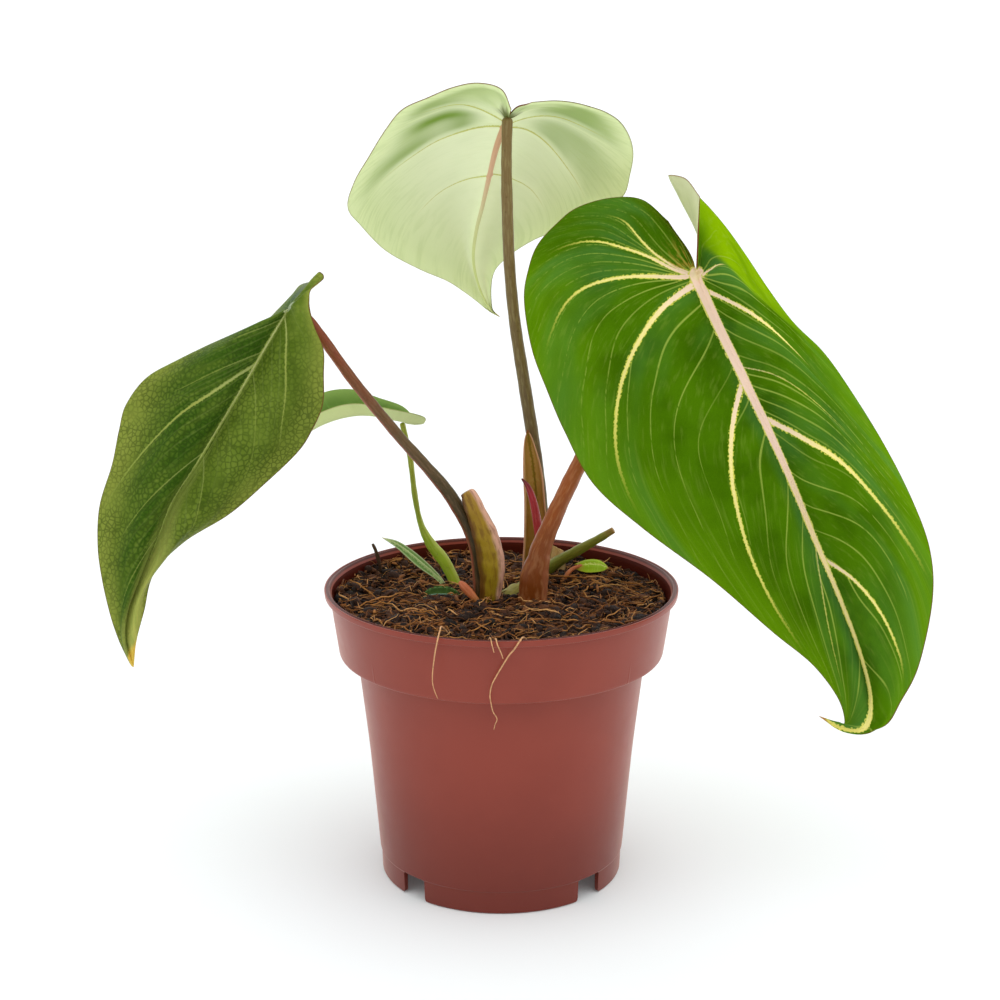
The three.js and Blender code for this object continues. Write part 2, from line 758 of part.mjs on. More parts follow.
const SEEDLING_STEM = [
  [28, 25.5, 100.6, 0.6],
  [25, 23.5, 100, 0.7],
  [22.5, 20.5, 98, 0.75],
  [20, 18, 92, 0.8],
];
const SEEDLING_LEAF = {
  midrib: [
    [27, 25, 100.4],
    [30.5, 27, 100.6],
    [34.5, 29, 99.8],
    [38, 31, 98],
  ],
  ribs: [
    [0, 26.2, 24.4, 99.6, 25.8, 26, 100.9],
    [0.8, 29.5, 23.5, 98.8, 29.5, 29, 101.6],
    [1.8, 33, 24.8, 98.4, 34, 31, 101.2],
    [2.5, 35.8, 27.5, 98, 36.8, 32, 99.4],
    [3, 38, 31, 98, 38, 31, 98],
  ],
  crownLeft: [[0, 0, 0.4], [0, 0, 0.2]],
  crownRight: [[0, 0, 0.4], [0, 0, 0.2]],
};

const POINTED_LEAF = {
  midrib: [
    [-18, 14, 92],
    [-21, 16, 98],
    [-28.5, 20, 103.8],
    [-36, 24, 108.6],
    [-42, 25.5, 111],
  ],
  ribs: [
    [0, -18.8, 13.4, 91.8, -17.2, 14.6, 92.2],
    [1, -21.5, 15.2, 97.5, -20.6, 16.8, 98.6],
    [2, -29.4, 18.4, 102.6, -27.9, 21.4, 104.8],
    [3, -36.6, 22.9, 107.9, -35.6, 25, 109.4],
    [4, -42, 25.5, 111, -42, 25.5, 111],
  ],
  crownLeft: [[0, 0, -0.2], [0, 0, -0.4], [0, 0, 0]],
  crownRight: [[0, 0, -0.2], [0, 0, -0.4], [0, 0, 0]],
};

const CURLED_LEAF = {
  midrib: [
    [-29, 5, 93.5],
    [-25, 6, 97.3],
    [-20, 6, 98.2],
    [-15.5, 5, 97.2],
    [-12.5, 4, 93],
  ],
  ribs: [
    [0, -28.8, 4.2, 93.3, -29, 5.8, 93.5],
    [1, -25, 2.8, 96.6, -25, 8.2, 96.6],
    [2, -20, 2, 97.4, -20, 8.6, 97.4],
    [3, -16, 2.6, 96.6, -15.5, 7.2, 96.4],
    [4, -12.6, 3.2, 92.8, -12.4, 4.8, 93],
  ],
  crownLeft: [[0, 0, 0.3], [0, 0, 0.8], [0, 0, 0.3]],
  crownRight: [[0, 0, 0.3], [0, 0, 0.8], [0, 0, 0.3]],
};

const OLD_SCALE = {
  midrib: [
    [19.5, 35.5, 92],
    [19.8, 36, 98],
    [20, 36.3, 104],
  ],
  ribs: [
    [0, 22.5, 35, 92, 16.8, 35, 92],
    [1, 23, 35.5, 98, 17, 35.5, 98.5],
    [2, 22.2, 36, 103, 18.2, 36, 105.2],
  ],
  crownLeft: [[0, 0.3, 0], [0, 0.3, 0]],
  crownRight: [[0, 0.3, 0], [0, 0.3, 0]],
};

// ---------------------------------------------------------------- the assembly

const stalks = {
  right_petiole: RIGHT_PETIOLE,
  mid_petiole: MID_PETIOLE,
  left_petiole: LEFT_PETIOLE,
  young_petiole: YOUNG_PETIOLE,
  cut_petiole: CUT_PETIOLE,
  left_sheath: LEFT_SHEATH,
  red_shoot: RED_SHOOT,
  bud_scale: BUD_SCALE,
  dry_twig: DRY_TWIG,
};
const smallLeaves = {
  mid_sheath: MID_SHEATH,
  pointed_leaf: POINTED_LEAF,
  curled_leaf: CURLED_LEAF,
  old_scale: OLD_SCALE,
};
const SMALL_GRID = { steps: 2, across: 3 };

const pieces = {};
const hollows = {}; // each standing piece, larger by the gap, for the holes that it stands in

for (const [name, rows] of Object.entries(stalks)) {
  pieces[name] = solid(tube(rows));
  hollows[name] = solid(grown(tube(rows), GAP));
}
for (const [name, leaf] of Object.entries(smallLeaves)) {
  const sheet = thicken(leafGrid(leaf, SMALL_GRID));
  pieces[name] = solid(sheet);
  hollows[name] = solid(grown(sheet, GAP));
}
const seedling = [tube(SEEDLING_STEM, { sides: 6 }), thicken(leafGrid(SEEDLING_LEAF, SMALL_GRID))];
pieces.seedling_leaf = wasm.Manifold.union(seedling.map(solid));
hollows.seedling_leaf = wasm.Manifold.union(seedling.map((part) => solid(grown(part, GAP))));

const blades = {
  right_blade: { leaf: RIGHT_BLADE, stalk: 'right_petiole', grid: {} },
  mid_blade: { leaf: MID_BLADE, stalk: 'mid_petiole', grid: {} },
  left_blade: { leaf: LEFT_BLADE, stalk: 'left_petiole', grid: {} },
  young_blade: { leaf: YOUNG_BLADE, stalk: 'young_petiole', grid: SMALL_GRID },
};
for (const [name, { leaf, stalk, grid }] of Object.entries(blades)) {
  const sheet = thicken(leafGrid(leaf, grid));
  pieces[name] = solid(sheet);
  pieces[stalk] = cutBy(pieces[stalk], [pieces[name], solid(grown(sheet, GAP))]);
}

pieces.left_sheath = cutBy(pieces.left_sheath, [hollows.left_petiole, hollows.bud_scale]);
pieces.mid_sheath = cutBy(pieces.mid_sheath, [hollows.red_shoot, hollows.mid_petiole]);
pieces.rhizome = cutBy(solid(tube(RHIZOME)), Object.values(hollows));
hollows.rhizome = solid(grown(tube(RHIZOME), GAP));
pieces.soil = cutBy(soilSolid(), Object.values(hollows));
pieces.pot = potSolid();

const finishes = {
  pot: FINISH.pot,
  soil: FINISH.soil,
  rhizome: FINISH.rhizome,
  right_petiole: FINISH.orangeStalk,
  right_blade: FINISH.rightBlade,
  mid_petiole: FINISH.oliveStalk,
  mid_blade: FINISH.midBlade,
  mid_sheath: FINISH.sheath,
  red_shoot: FINISH.redShoot,
  left_petiole: FINISH.darkStalk,
  left_sheath: FINISH.sheath,
  left_blade: FINISH.leftBlade,
  young_petiole: FINISH.youngGreen,
  young_blade: FINISH.youngGreen,
  cut_petiole: FINISH.oliveStalk,
  old_scale: FINISH.dryScale,
  seedling_leaf: FINISH.youngGreen,
  pointed_leaf: FINISH.youngGreen,
  curled_leaf: FINISH.leftBlade,
  bud_scale: FINISH.palePink,
  dry_twig: FINISH.dryWood,
};

const plant = new THREE.Group();
for (const [name, material] of Object.entries(finishes)) {
  const mesh = new THREE.Mesh(fromSolid(pieces[name]), material);
  mesh.name = name;
  plant.add(mesh);
}

// The origin goes on the ground under the middle of the object's box.
const middle = new THREE.Box3().setFromObject(plant).getCenter(new THREE.Vector3());
plant.position.set(-middle.x, -middle.y, 0);
plant.updateMatrixWorld(true);

export default plant;
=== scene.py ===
"""Dresses a potted creeping philodendron: veined blades, stalks, fibrous mix and nursery pot.

Tables hold millimetres about the pot's axis, with the ground at zero and the front towards -Y, as
the part's source does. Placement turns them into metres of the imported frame.
"""

import logging
import math
from collections.abc import Iterable, Sequence
from dataclasses import dataclass, field
from enum import Enum

import bpy
import numpy as np
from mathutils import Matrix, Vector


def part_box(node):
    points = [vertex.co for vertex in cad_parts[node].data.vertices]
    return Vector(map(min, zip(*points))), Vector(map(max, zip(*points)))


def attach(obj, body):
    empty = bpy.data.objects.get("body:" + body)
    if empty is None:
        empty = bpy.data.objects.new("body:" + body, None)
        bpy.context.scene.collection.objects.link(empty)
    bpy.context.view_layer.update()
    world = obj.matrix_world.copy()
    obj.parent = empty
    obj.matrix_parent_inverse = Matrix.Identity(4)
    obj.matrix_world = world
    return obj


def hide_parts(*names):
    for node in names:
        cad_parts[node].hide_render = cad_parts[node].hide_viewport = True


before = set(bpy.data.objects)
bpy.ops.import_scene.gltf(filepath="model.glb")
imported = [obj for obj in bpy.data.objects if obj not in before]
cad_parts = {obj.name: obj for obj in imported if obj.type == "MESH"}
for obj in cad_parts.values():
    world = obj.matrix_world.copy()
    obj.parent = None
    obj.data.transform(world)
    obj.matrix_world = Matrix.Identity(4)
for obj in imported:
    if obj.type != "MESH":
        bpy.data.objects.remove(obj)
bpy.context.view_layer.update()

log = logging.getLogger("philodendron")

Array = np.ndarray
Material = bpy.types.Material
Object = bpy.types.Object
Socket = bpy.types.NodeSocket
Table = Sequence[Sequence[float]]
Stops = Sequence[tuple[float, str]]  # places from 0 to 1 and their colours
MM = 0.001


# ------------------------------------------------------------------ numbers and places


@dataclass(frozen=True)
class Placement:
    """Where the pot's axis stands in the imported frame, in metres."""

    axis_x: float
    axis_y: float

    @classmethod
    def of_pot(cls) -> "Placement":
        """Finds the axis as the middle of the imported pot's box.

        Returns:
            The placement of the pot's axis.
        """
        low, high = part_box("pot")
        return cls((low[0] + high[0]) / 2, (low[1] + high[1]) / 2)

    def metres(self, points: Array) -> Array:
        """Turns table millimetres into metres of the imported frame.

        Args:
            points: Rows of x, y, z in millimetres about the pot's axis.

        Returns:
            The same rows in metres of the frame.
        """
        return np.asarray(points) * MM + (self.axis_x, self.axis_y, 0)


def spline(rows: Table | Array, t: Array) -> Array:
    """Follows a smooth curve through rows of numbers of any length.

    Args:
        rows: The rows that the curve passes through, evenly spaced in t.
        t: Places from 0 to 1 over all the rows.

    Returns:
        One row for each place.
    """
    knots = np.asarray(rows, float)
    last = len(knots) - 1
    s = np.clip(t, 0, 1) * last
    i = np.minimum(np.floor(s).astype(int), last - 1)
    u = (s - i)[:, None]
    padded = np.vstack([2 * knots[0] - knots[1], knots, 2 * knots[-1] - knots[-2]])
    a, b, c, d = (padded[i + k] for k in range(4))
    return b + 0.5 * u * (c - a + u * (2 * a - 5 * b + 4 * c - d + u * (3 * (b - c) + d - a)))


def smooth(value: Array | float, start: float, end: float) -> Array:
    """Eases from 0 at start to 1 at end.

    Args:
        value: What is eased.
        start: Where the result is 0.
        end: Where the result is 1.

    Returns:
        The eased values.
    """
    x = np.clip((np.asarray(value, float) - start) / (end - start), 0, 1)
    return x * x * (3 - 2 * x)


def unit(vectors: Array) -> Array:
    """Scales vectors to length one, and leaves the ones with no length.

    Args:
        vectors: Any array whose last axis holds x, y, z.

    Returns:
        The scaled vectors.
    """
    length = np.linalg.norm(vectors, axis=-1, keepdims=True)
    return np.divide(vectors, length, out=np.zeros_like(vectors), where=length > 1e-9)


def run_of(points: Array) -> Array:
    """Measures how far each point of a path lies from its first."""
    return np.concatenate([[0], np.cumsum(np.linalg.norm(np.diff(points, axis=0), axis=1))])


def colour(code: str) -> tuple[float, float, float, float]:
    """Reads a hexadecimal sRGB colour as linear red, green, blue and alpha."""
    channels = [int(code[i : i + 2], 16) / 255 for i in (1, 3, 5)]
    linear = [c / 12.92 if c <= 0.04045 else ((c + 0.055) / 1.055) ** 2.4 for c in channels]
    return (*linear, 1.0)


# ------------------------------------------------------------------ node graphs

Feed = Socket | float | int | bool | tuple | str


class Graph:
    """A node tree under construction, for a finish or for scattered geometry."""

    def __init__(self, tree: bpy.types.NodeTree) -> None:
        """Takes over the tree that the nodes go into."""
        self.tree = tree

    def node(self, kind: str, feeds: dict | None = None, **settings: object) -> bpy.types.Node:
        """Adds a node.

        Args:
            kind: The node's type.
            feeds: What goes into its sockets, by socket name or number.
            **settings: The node's own properties.

        Returns:
            The new node.
        """
        node = self.tree.nodes.new(kind)
        for key, value in settings.items():
            setattr(node, key, value)
        for key, value in (feeds or {}).items():
            self.feed(node.inputs[key], value)
        return node

    def feed(self, socket: Socket, value: Feed) -> None:
        """Links a socket to another node's output, or sets its own value."""
        if isinstance(value, Socket):
            self.tree.links.new(value, socket)
        elif isinstance(value, str) and value.startswith("#"):
            socket.default_value = colour(value)
        else:
            socket.default_value = value

    def maths(self, operation: str, *feeds: Feed) -> Socket:
        """Adds a Math node with one, two or three inputs."""
        return self.node("ShaderNodeMath", dict(enumerate(feeds)), operation=operation).outputs[0]

    def times(self, *feeds: Feed) -> Socket:
        """Multiplies numbers, from the first to the last."""
        product = feeds[0]
        for other in feeds[1:]:
            product = self.maths("MULTIPLY", product, other)
        return product

    def linear(self, value: Feed, factor: Feed, offset: Feed) -> Socket:
        """Multiplies a number by a factor and adds an offset."""
        return self.maths("MULTIPLY_ADD", value, factor, offset)

    def vector(self, x: Feed, y: Feed, z: Feed) -> Socket:
        """Combines three numbers into a vector."""
        return self.node("ShaderNodeCombineXYZ", {0: x, 1: y, 2: z}).outputs[0]

    def parts(self, vector: Feed) -> Sequence[Socket]:
        """Splits a vector into its three numbers."""
        return self.node("ShaderNodeSeparateXYZ", {0: vector}).outputs

    def vector_maths(self, operation: str, *feeds: Feed) -> Socket:
        """Adds a Vector Math node."""
        node = self.node("ShaderNodeVectorMath", dict(enumerate(feeds)), operation=operation)
        return node.outputs["Value" if operation == "LENGTH" else "Vector"]

    def map_range(self, *feeds: Feed) -> Socket:
        """Eases a value from one range to another: value, start, end, first and last result."""
        kind = "ShaderNodeMapRange"
        return self.node(kind, dict(enumerate(feeds)), interpolation_type="SMOOTHSTEP").outputs[0]

    def scale(self, vector: Feed, factor: Feed) -> Socket:
        """Scales a vector by one factor."""
        feeds = {0: vector, "Scale": factor}
        return self.node("ShaderNodeVectorMath", feeds, operation="SCALE").outputs[0]


class Paint(Graph):
    """One finish under construction: a Principled shader and what feeds it."""

    FINER = 0.55  # how strong the finer layers of its noise are

    def __init__(self, name: str, roughness: float, skin: Feed = "#ffffff", **constants: Feed) -> None:
        """Starts a material.

        Args:
            name: The material's name.
            roughness: The shader's roughness where nothing is linked to it.
            skin: The colour that the others are laid over.
            **constants: Other sockets of the shader, with underscores for spaces.
        """
        self.material = bpy.data.materials.new(name)
        self.material.use_nodes = True
        super().__init__(self.material.node_tree)
        self.tree.nodes.clear()
        self.shader = self.node("ShaderNodeBsdfPrincipled", {"Roughness": roughness})
        for key, value in constants.items():
            self.feed(self.shader.inputs[key.replace("_", " ")], value)
        self.node("ShaderNodeOutputMaterial", {"Surface": self.shader.outputs[0]})
        spot = self.node("ShaderNodeTexCoord").outputs["Object"]
        self.place = self.scale(spot, 1 / MM)  # object coordinates in millimetres
        self.skin: Feed = skin

    def value(self, name: str) -> Socket:
        """Reads one of the numbers that the mesh carries."""
        return self.node("ShaderNodeAttribute", attribute_name=name).outputs["Fac"]

    def noise(self, grain: float, detail: float = 3.0, at: Feed | None = None) -> Socket:
        """Adds soft noise around 0.5.

        Args:
            grain: Size of its lumps, in the units of the vector.
            detail: How many finer layers it has.
            at: The vector that it is read at, or the place in millimetres.

        Returns:
            The noise.
        """
        feeds = {"Vector": at or self.place, "Scale": 1 / grain, "Detail": detail, "Roughness": self.FINER}
        return self.node("ShaderNodeTexNoise", feeds).outputs[0]

    def patches(self, grain: float, detail: float, low: float, high: float) -> Socket:
        """Draws patches where noise eases from a low to a high value, or the other way round."""
        return self.step(self.noise(grain, detail), low, high)

    def step(self, value: Feed, start: Feed, end: Feed) -> Socket:
        """Eases from 0 where the value is start to 1 where it is end."""
        return self.map_range(value, start, end, 0.0, 1.0)

    def blend(self, share: Feed, under: Feed, over: Feed) -> Socket:
        """Mixes two colours by the share of the second."""
        return self.node("ShaderNodeMix", {0: share, 6: under, 7: over}, data_type="RGBA").outputs[2]

    def lay(self, over: Feed, *shares: Feed) -> None:
        """Lays a colour over the skin by the product of several shares from 0 to 1."""
        self.skin = self.blend(self.times(*shares), self.skin, over)

    def ramp(self, value: Feed, stops: Stops) -> Socket:
        """Runs a number through colour stops.

        Args:
            value: The number, from 0 to 1.
            stops: Places and colours, in order.

        Returns:
            The colour.
        """
        node = self.node("ShaderNodeValToRGB", {0: value})
        elements = node.color_ramp.elements
        while len(elements) < len(stops):
            elements.new(0.5)
        for element, (place, code) in zip(elements, stops):
            element.position = place
            element.color = colour(code)
        return node.outputs[0]

    def wear(self, height: Feed | None = None, depth: float = 0.1) -> Material:
        """Finishes the material in the colours laid so far.

        Args:
            height: The relief that the shader's bump follows, from 0 to 1.
            depth: How deep that relief is, in millimetres.

        Returns:
            The material.
        """
        self.feed(self.shader.inputs["Base Color"], self.skin)
        if height is not None:
            bump = self.node("ShaderNodeBump", {"Strength": 1.0, "Distance": depth * MM, "Height": height})
            self.feed(self.shader.inputs["Normal"], bump.outputs[0])
        return self.material


# ------------------------------------------------------------------ skins


@dataclass
class Skin:
    """A closed surface before it becomes an object.

    Attributes:
        points: Corners in millimetres about the pot's axis.
        faces: Corner numbers of each face, counted outwards.
        values: Numbers that the materials read, one for each corner.
        finish_of_face: Which of the object's materials each face wears; all wear the first if empty.
        sharp: Edges that turn by more degrees than this stay sharp.
    """

    points: Array
    faces: list[tuple[int, ...]]
    values: dict[str, Array] = field(default_factory=dict)
    finish_of_face: list[int] = field(default_factory=list)
    sharp: float = 50.0

    def welded(self, same: Array) -> "Skin":
        """Joins corners that coincide.

        Args:
            same: For each corner, the number of the corner that it becomes.

        Returns:
            The skin without the joined corners and without faces that lost their area.
        """
        faces, finish_of_face = [], []
        kept = self.finish_of_face or [0] * len(self.faces)
        for face, finish in zip(self.faces, kept):
            ring = [int(same[c]) for c in face]
            ring = [c for k, c in enumerate(ring) if c != ring[k - 1]]
            if len(set(ring)) > 2:
                faces.append(tuple(ring))
                finish_of_face.append(finish)
        used = np.unique([c for face in faces for c in face])
        number = np.zeros(len(self.points), int)
        number[used] = np.arange(len(used))
        faces = [tuple(int(number[c]) for c in face) for face in faces]
        values = {name: data[used] for name, data in self.values.items()}
        return Skin(self.points[used], faces, values, finish_of_face, self.sharp)


def quads(ids: Array) -> list[tuple[int, ...]]:
    """Spans a grid of corner numbers with faces whose outside is where rows cross columns.

    Args:
        ids: The corner numbers, row by row.

    Returns:
        One quadrilateral for each cell.
    """
    cells = np.stack([ids[:-1, :-1], ids[1:, :-1], ids[1:, 1:], ids[:-1, 1:]], axis=-1)
    return [tuple(cell) for cell in cells.reshape(-1, 4).tolist()]


def turned(points: Array, sharp: float, finish_of_face: Sequence[int] = ()) -> Skin:
    """Closes a surface that goes round the pot's axis.

    Args:
        points: A row of corners for each angle, from the axis out and back to it.
        sharp: The skin's own sharp angle.
        finish_of_face: The skin's own finishes, row by row.

    Returns:
        The closed skin.
    """
    ids = np.arange(points.size // 3).reshape(points.shape[:2])
    same = np.arange(ids.size)
    for pole in (0, -1):
        same[ids[:, pole]] = ids[0, pole]
    faces = quads(np.vstack([ids, ids[:1]]))
    return Skin(points.reshape(-1, 3), faces, {}, list(finish_of_face), sharp).welded(same)


def placed(name: str, data: bpy.types.ID) -> Object:
    """Makes an object of its data and puts it into the scene."""
    made = bpy.data.objects.new(name, data)
    bpy.context.scene.collection.objects.link(made)
    return made


def evaluated(thing: Object) -> bpy.types.Mesh:
    """Makes a mesh of an object as its modifiers shape it."""
    return bpy.data.meshes.new_from_object(thing.evaluated_get(bpy.context.evaluated_depsgraph_get()))


class Workshop:
    """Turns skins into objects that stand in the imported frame."""

    def __init__(self) -> None:
        """Finds the pot's axis."""
        self.placement = Placement.of_pot()

    def make(
        self, name: str, skin: Skin, finishes: Sequence[Material], smooth_faces: bool = True
    ) -> Object:
        """Builds an object.

        Args:
            name: The object's name.
            skin: Its surface.
            finishes: Its materials, in the order that the skin counts them.
            smooth_faces: Whether its faces are shaded as one curved surface.

        Returns:
            The object, at the origin and in the scene.
        """
        mesh = bpy.data.meshes.new(name)
        mesh.from_pydata(self.placement.metres(skin.points).tolist(), [], skin.faces)
        for key, data in skin.values.items():
            attribute = mesh.attributes.new(key, "FLOAT", "POINT")
            attribute.data.foreach_set("value", np.asarray(data, np.float32))
        for finish in finishes:
            mesh.materials.append(finish)
        if skin.finish_of_face:
            mesh.polygons.foreach_set("material_index", skin.finish_of_face)
        if smooth_faces:
            mesh.polygons.foreach_set("use_smooth", [True] * len(mesh.polygons))
            mesh.set_sharp_from_angle(angle=math.radians(skin.sharp))
        mesh.update()
        return placed(name, mesh)

    def install(self, piece: Object, slot: str, nodes: Iterable[str] = ()) -> None:
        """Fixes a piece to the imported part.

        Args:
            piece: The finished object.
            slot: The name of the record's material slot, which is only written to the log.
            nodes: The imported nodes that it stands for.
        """
        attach(piece, "root")
        if nodes:
            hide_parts(*nodes)
        log.info("%s: %d faces, slot %s", piece.name, len(piece.data.polygons), slot)


# ------------------------------------------------------------------ leaves


class Half(Enum):
    """The two halves of a blade, named as the tables name them."""

    LEFT = "left"
    RIGHT = "right"


@dataclass(frozen=True)
class LeafTable:
    """The form of a blade.

    Attributes:
        midrib: Points from the stalk's joint to the tip.
        ribs: Rows of place on the midrib, left margin x, y, z and right margin x, y, z, from the
            notch between the lobes to the tip. Place 0 is the joint.
        crown_left: How far the middle of the left half stands off its straight line.
        crown_right: The same for the right half.
    """

    midrib: Table
    ribs: Table
    crown_left: Table
    crown_right: Table


@dataclass(frozen=True)
class Vein:
    """A side vein of one half of a blade.

    Attributes:
        rows: Which row of ribs it lies on at 0, 1/4, 1/2, 3/4 and all of the way to the margin.
        width: Half its width at its source, in millimetres.
        reach: How far towards the margin it shows, from 0 to 1.
        shown: How strongly it shows.
    """

    rows: tuple[float, ...]
    width: float
    reach: float = 0.85
    shown: float = 1.0


@dataclass
class Blade:
    """A leaf's blade with puckered lamina, sunken veins above and raised ribs below.

    Attributes:
        node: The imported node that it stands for.
        table: Its form.
        slot: The record's material slot.
        upper: The finish of the upper side.
        under: The finish of the underside.
        veins: The side veins of each half, from the notch to the tip.
        rib_width: Half the midrib's width at the joint, in millimetres.
        rib_taper: How soon the midrib narrows towards the tip; small numbers keep it wide.
        pucker: How far the lamina bulges between the side veins, in millimetres.
        steps: Rows of corners for each row of ribs.
        across: Corners across each half.
        thick: The lamina's thickness.
    """

    node: str
    table: LeafTable
    slot: str
    upper: Material
    under: Material
    veins: dict[Half, Sequence[Vein]] = field(default_factory=dict)
    rib_width: float = 0.5
    rib_taper: float = 0.6
    pucker: float = 0.0
    steps: int = 20
    across: int = 48
    thick: float = 0.5

    CROWN_SKEW = 0.3  # as in the part's source
    CROWDING = 1.25  # how closely the corners crowd towards the midrib
    JOINT_REACH = 5.0  # millimetres round the joint in which the lamina lies smooth
    JOINT_SHARE = 0.12  # and the same as a share of the blade's length, for small blades
    SHARP = 60.0  # degrees
    BEYOND = 0.01  # rows of ribs by which the vein numbers start and end outside the blade
    WIDEST_GAP = 60.0  # millimetres

    def surface(self, half: Half, t: Array, shares: Array) -> Array:
        """Finds the middle surface of one half.

        Args:
            half: Which half.
            t: Places from the notch to the tip.
            shares: Places from the midrib to the margin.

        Returns:
            Points by place and share, in millimetres.
        """
        row = spline(self.table.ribs, t)
        along = row[:, 0] / (len(self.table.midrib) - 1)
        source = spline(self.table.midrib, along)[:, None]
        margin = (row[:, 1:4] if half is Half.LEFT else row[:, 4:7])[:, None]
        crown_rows = self.table.crown_left if half is Half.LEFT else self.table.crown_right
        crown = spline(crown_rows, t)[:, None]
        r = shares[None, :, None]
        arch = np.sin(np.pi * r) + self.CROWN_SKEW * np.sin(2 * np.pi * r)
        return source + (margin - source) * r + crown * arch

    def vein_field(self, half: Half, t: Array, shares: Array, points: Array) -> tuple[Array, ...]:
        """Numbers the lamina by its side veins.

        Args:
            half: Which half.
            t: Places from the notch to the tip.
            shares: Places from the midrib to the margin.
            points: The half's middle surface.

        Returns:
            A number that is whole on each side vein, the distance between two veins in
            millimetres, half the width of the nearest vein, and how strongly that vein shows.
        """
        last = len(self.table.ribs) - 1
        veins = self.veins.get(half, ())
        blank = np.zeros(len(shares))
        lines = [spline([[v] for v in vein.rows], shares)[:, 0] for vein in veins]
        stack = np.array([blank - self.BEYOND, *lines, blank + last + self.BEYOND])
        widths = [vein.width * (1 - 0.82 * np.minimum(1, shares / vein.reach) ** 0.75) for vein in veins]
        width_of = np.array([blank, *widths, blank])
        shown = [vein.shown * smooth(shares, vein.reach, 0.7 * vein.reach) for vein in veins]
        shown_of = np.array([blank, *shown, blank])
        number = np.stack(
            [np.interp(t * last, stack[:, j], np.arange(len(stack))) for j in range(len(shares))], axis=1
        )
        nearest = np.rint(number).astype(int)
        column = np.arange(len(shares))[None]
        width, shown_here = width_of[nearest, column], shown_of[nearest, column]
        along_t, along_r = np.gradient(points, t, axis=0), np.gradient(points, shares, axis=1)
        pairs = ((along_t, along_t), (along_t, along_r), (along_r, along_r))
        e, f, g = (np.sum(a * b, -1) for a, b in pairs)
        number_t, number_r = np.gradient(number, t, axis=0), np.gradient(number, shares, axis=1)
        area = np.maximum(e * g - f * f, 1e-6)
        slope = (g * number_t**2 - 2 * f * number_t * number_r + e * number_r**2) / area
        gap = 1 / np.sqrt(np.maximum(slope, 1e-4))
        return number, np.clip(gap, 0, self.WIDEST_GAP), width, shown_here

    def normals(self, middle: Array, fan: Array) -> Array:
        """Finds the directions across the lamina, which are one round the joint.

        Args:
            middle: The middle surface.
            fan: Which of its rows start at the joint.

        Returns:
            A direction for each point.
        """
        centre = self.across
        normal = unit(np.cross(np.gradient(middle, axis=0), np.gradient(middle, axis=1)))
        joint_normal = unit(normal[fan][:, [centre - 4, centre + 4]].mean(axis=(0, 1)))
        from_joint = np.linalg.norm(middle - middle[0, centre], axis=-1)
        joint_reach = min(self.JOINT_REACH, self.JOINT_SHARE * from_joint[-1, centre])
        far = smooth(from_joint, 0.0, joint_reach)[..., None]
        return unit(joint_normal * (1 - far) + normal * far)

    def relief(
        self, rib: Array, rib_half: Array, off: Array, width: Array, shown: Array
    ) -> tuple[Array, Array]:
        """Shapes the upper side's grooves and the underside's ridges.

        Args:
            rib: Distances from the midrib.
            rib_half: Half the midrib's width.
            off: Distances from the nearest side vein.
            width: Half that vein's width.
            shown: How strongly that vein shows.

        Returns:
            The grooves' depth and the ridges' height, in millimetres.
        """
        sunk = 0.3 * shown * width * np.exp(-((off / (width + 0.4)) ** 2)) * smooth(rib, 0.5, 3)
        sides, floor = np.exp(-(((rib - rib_half) / 0.5) ** 2)), np.exp(-((rib / rib_half) ** 2))
        groove = 0.1 * rib_half * (sides - 2.2 * floor)
        round_rib = np.sqrt(np.clip(1 - (rib / (0.8 * rib_half)) ** 2, 0, 1))
        raised = 1.1 * width * np.exp(-((off / (0.8 * width + 0.25)) ** 2))
        ridge = 0.75 * np.minimum(rib_half, 1.5) * round_rib + raised
        return sunk + groove, ridge

    def skin(self) -> Skin:
        """Builds both faces of the blade and its rim.

        Returns:
            The closed surface, with the upper side's faces first.
        """
        rows = (len(self.table.ribs) - 1) * self.steps + 1
        t = np.linspace(0, 1, rows)
        shares = np.linspace(0, 1, self.across + 1) ** self.CROWDING
        place = spline(self.table.ribs, t)[:, 0]
        along = np.clip(place / (len(self.table.midrib) - 1), 0, 1)
        halves = {}
        for half in Half:
            points = self.surface(half, t, shares)
            halves[half] = (points, *self.vein_field(half, t, shares, points))
        left, right = halves[Half.LEFT], halves[Half.RIGHT]
        middle, number, gap, width, shown = (
            np.concatenate([a[:, :0:-1], b], axis=1) for a, b in zip(left, right)
        )
        centre = self.across
        rib = np.linalg.norm(middle - middle[:, centre : centre + 1], axis=-1)
        reach = np.maximum(rib[:, [0, -1]], 1e-3)
        side = np.repeat(reach, (centre, centre + 1), axis=1)
        margin = side - rib
        share = np.concatenate([shares[:0:-1], shares])[None]

        fan = place <= 1e-6
        normal = self.normals(middle, fan)
        pointed = np.ptp(middle[-1], axis=0).max() < 1e-6
        if pointed:
            normal[-1] = normal[-2].mean(axis=0)

        off = np.abs(number - np.rint(number)) * gap
        clear = smooth(rib, 1, 8) * smooth(margin, 0, 7)
        bulge = self.pucker * np.sin(np.pi * number) ** 2 * np.minimum(gap / 9, 1) * clear
        rib_half = self.rib_width * (1 - along[:, None]) ** self.rib_taper + 0.08
        grooves, ridges = self.relief(rib, rib_half, off, width, shown)
        edge = smooth(margin, 0, 2)
        half_thick = (self.thick * (0.55 + 0.45 * edge) / 2)[..., None]
        middle = middle + normal * bulge[..., None]
        over = middle + normal * (half_thick - (grooves * edge)[..., None])
        below = middle - normal * (half_thick + (ridges * edge)[..., None])

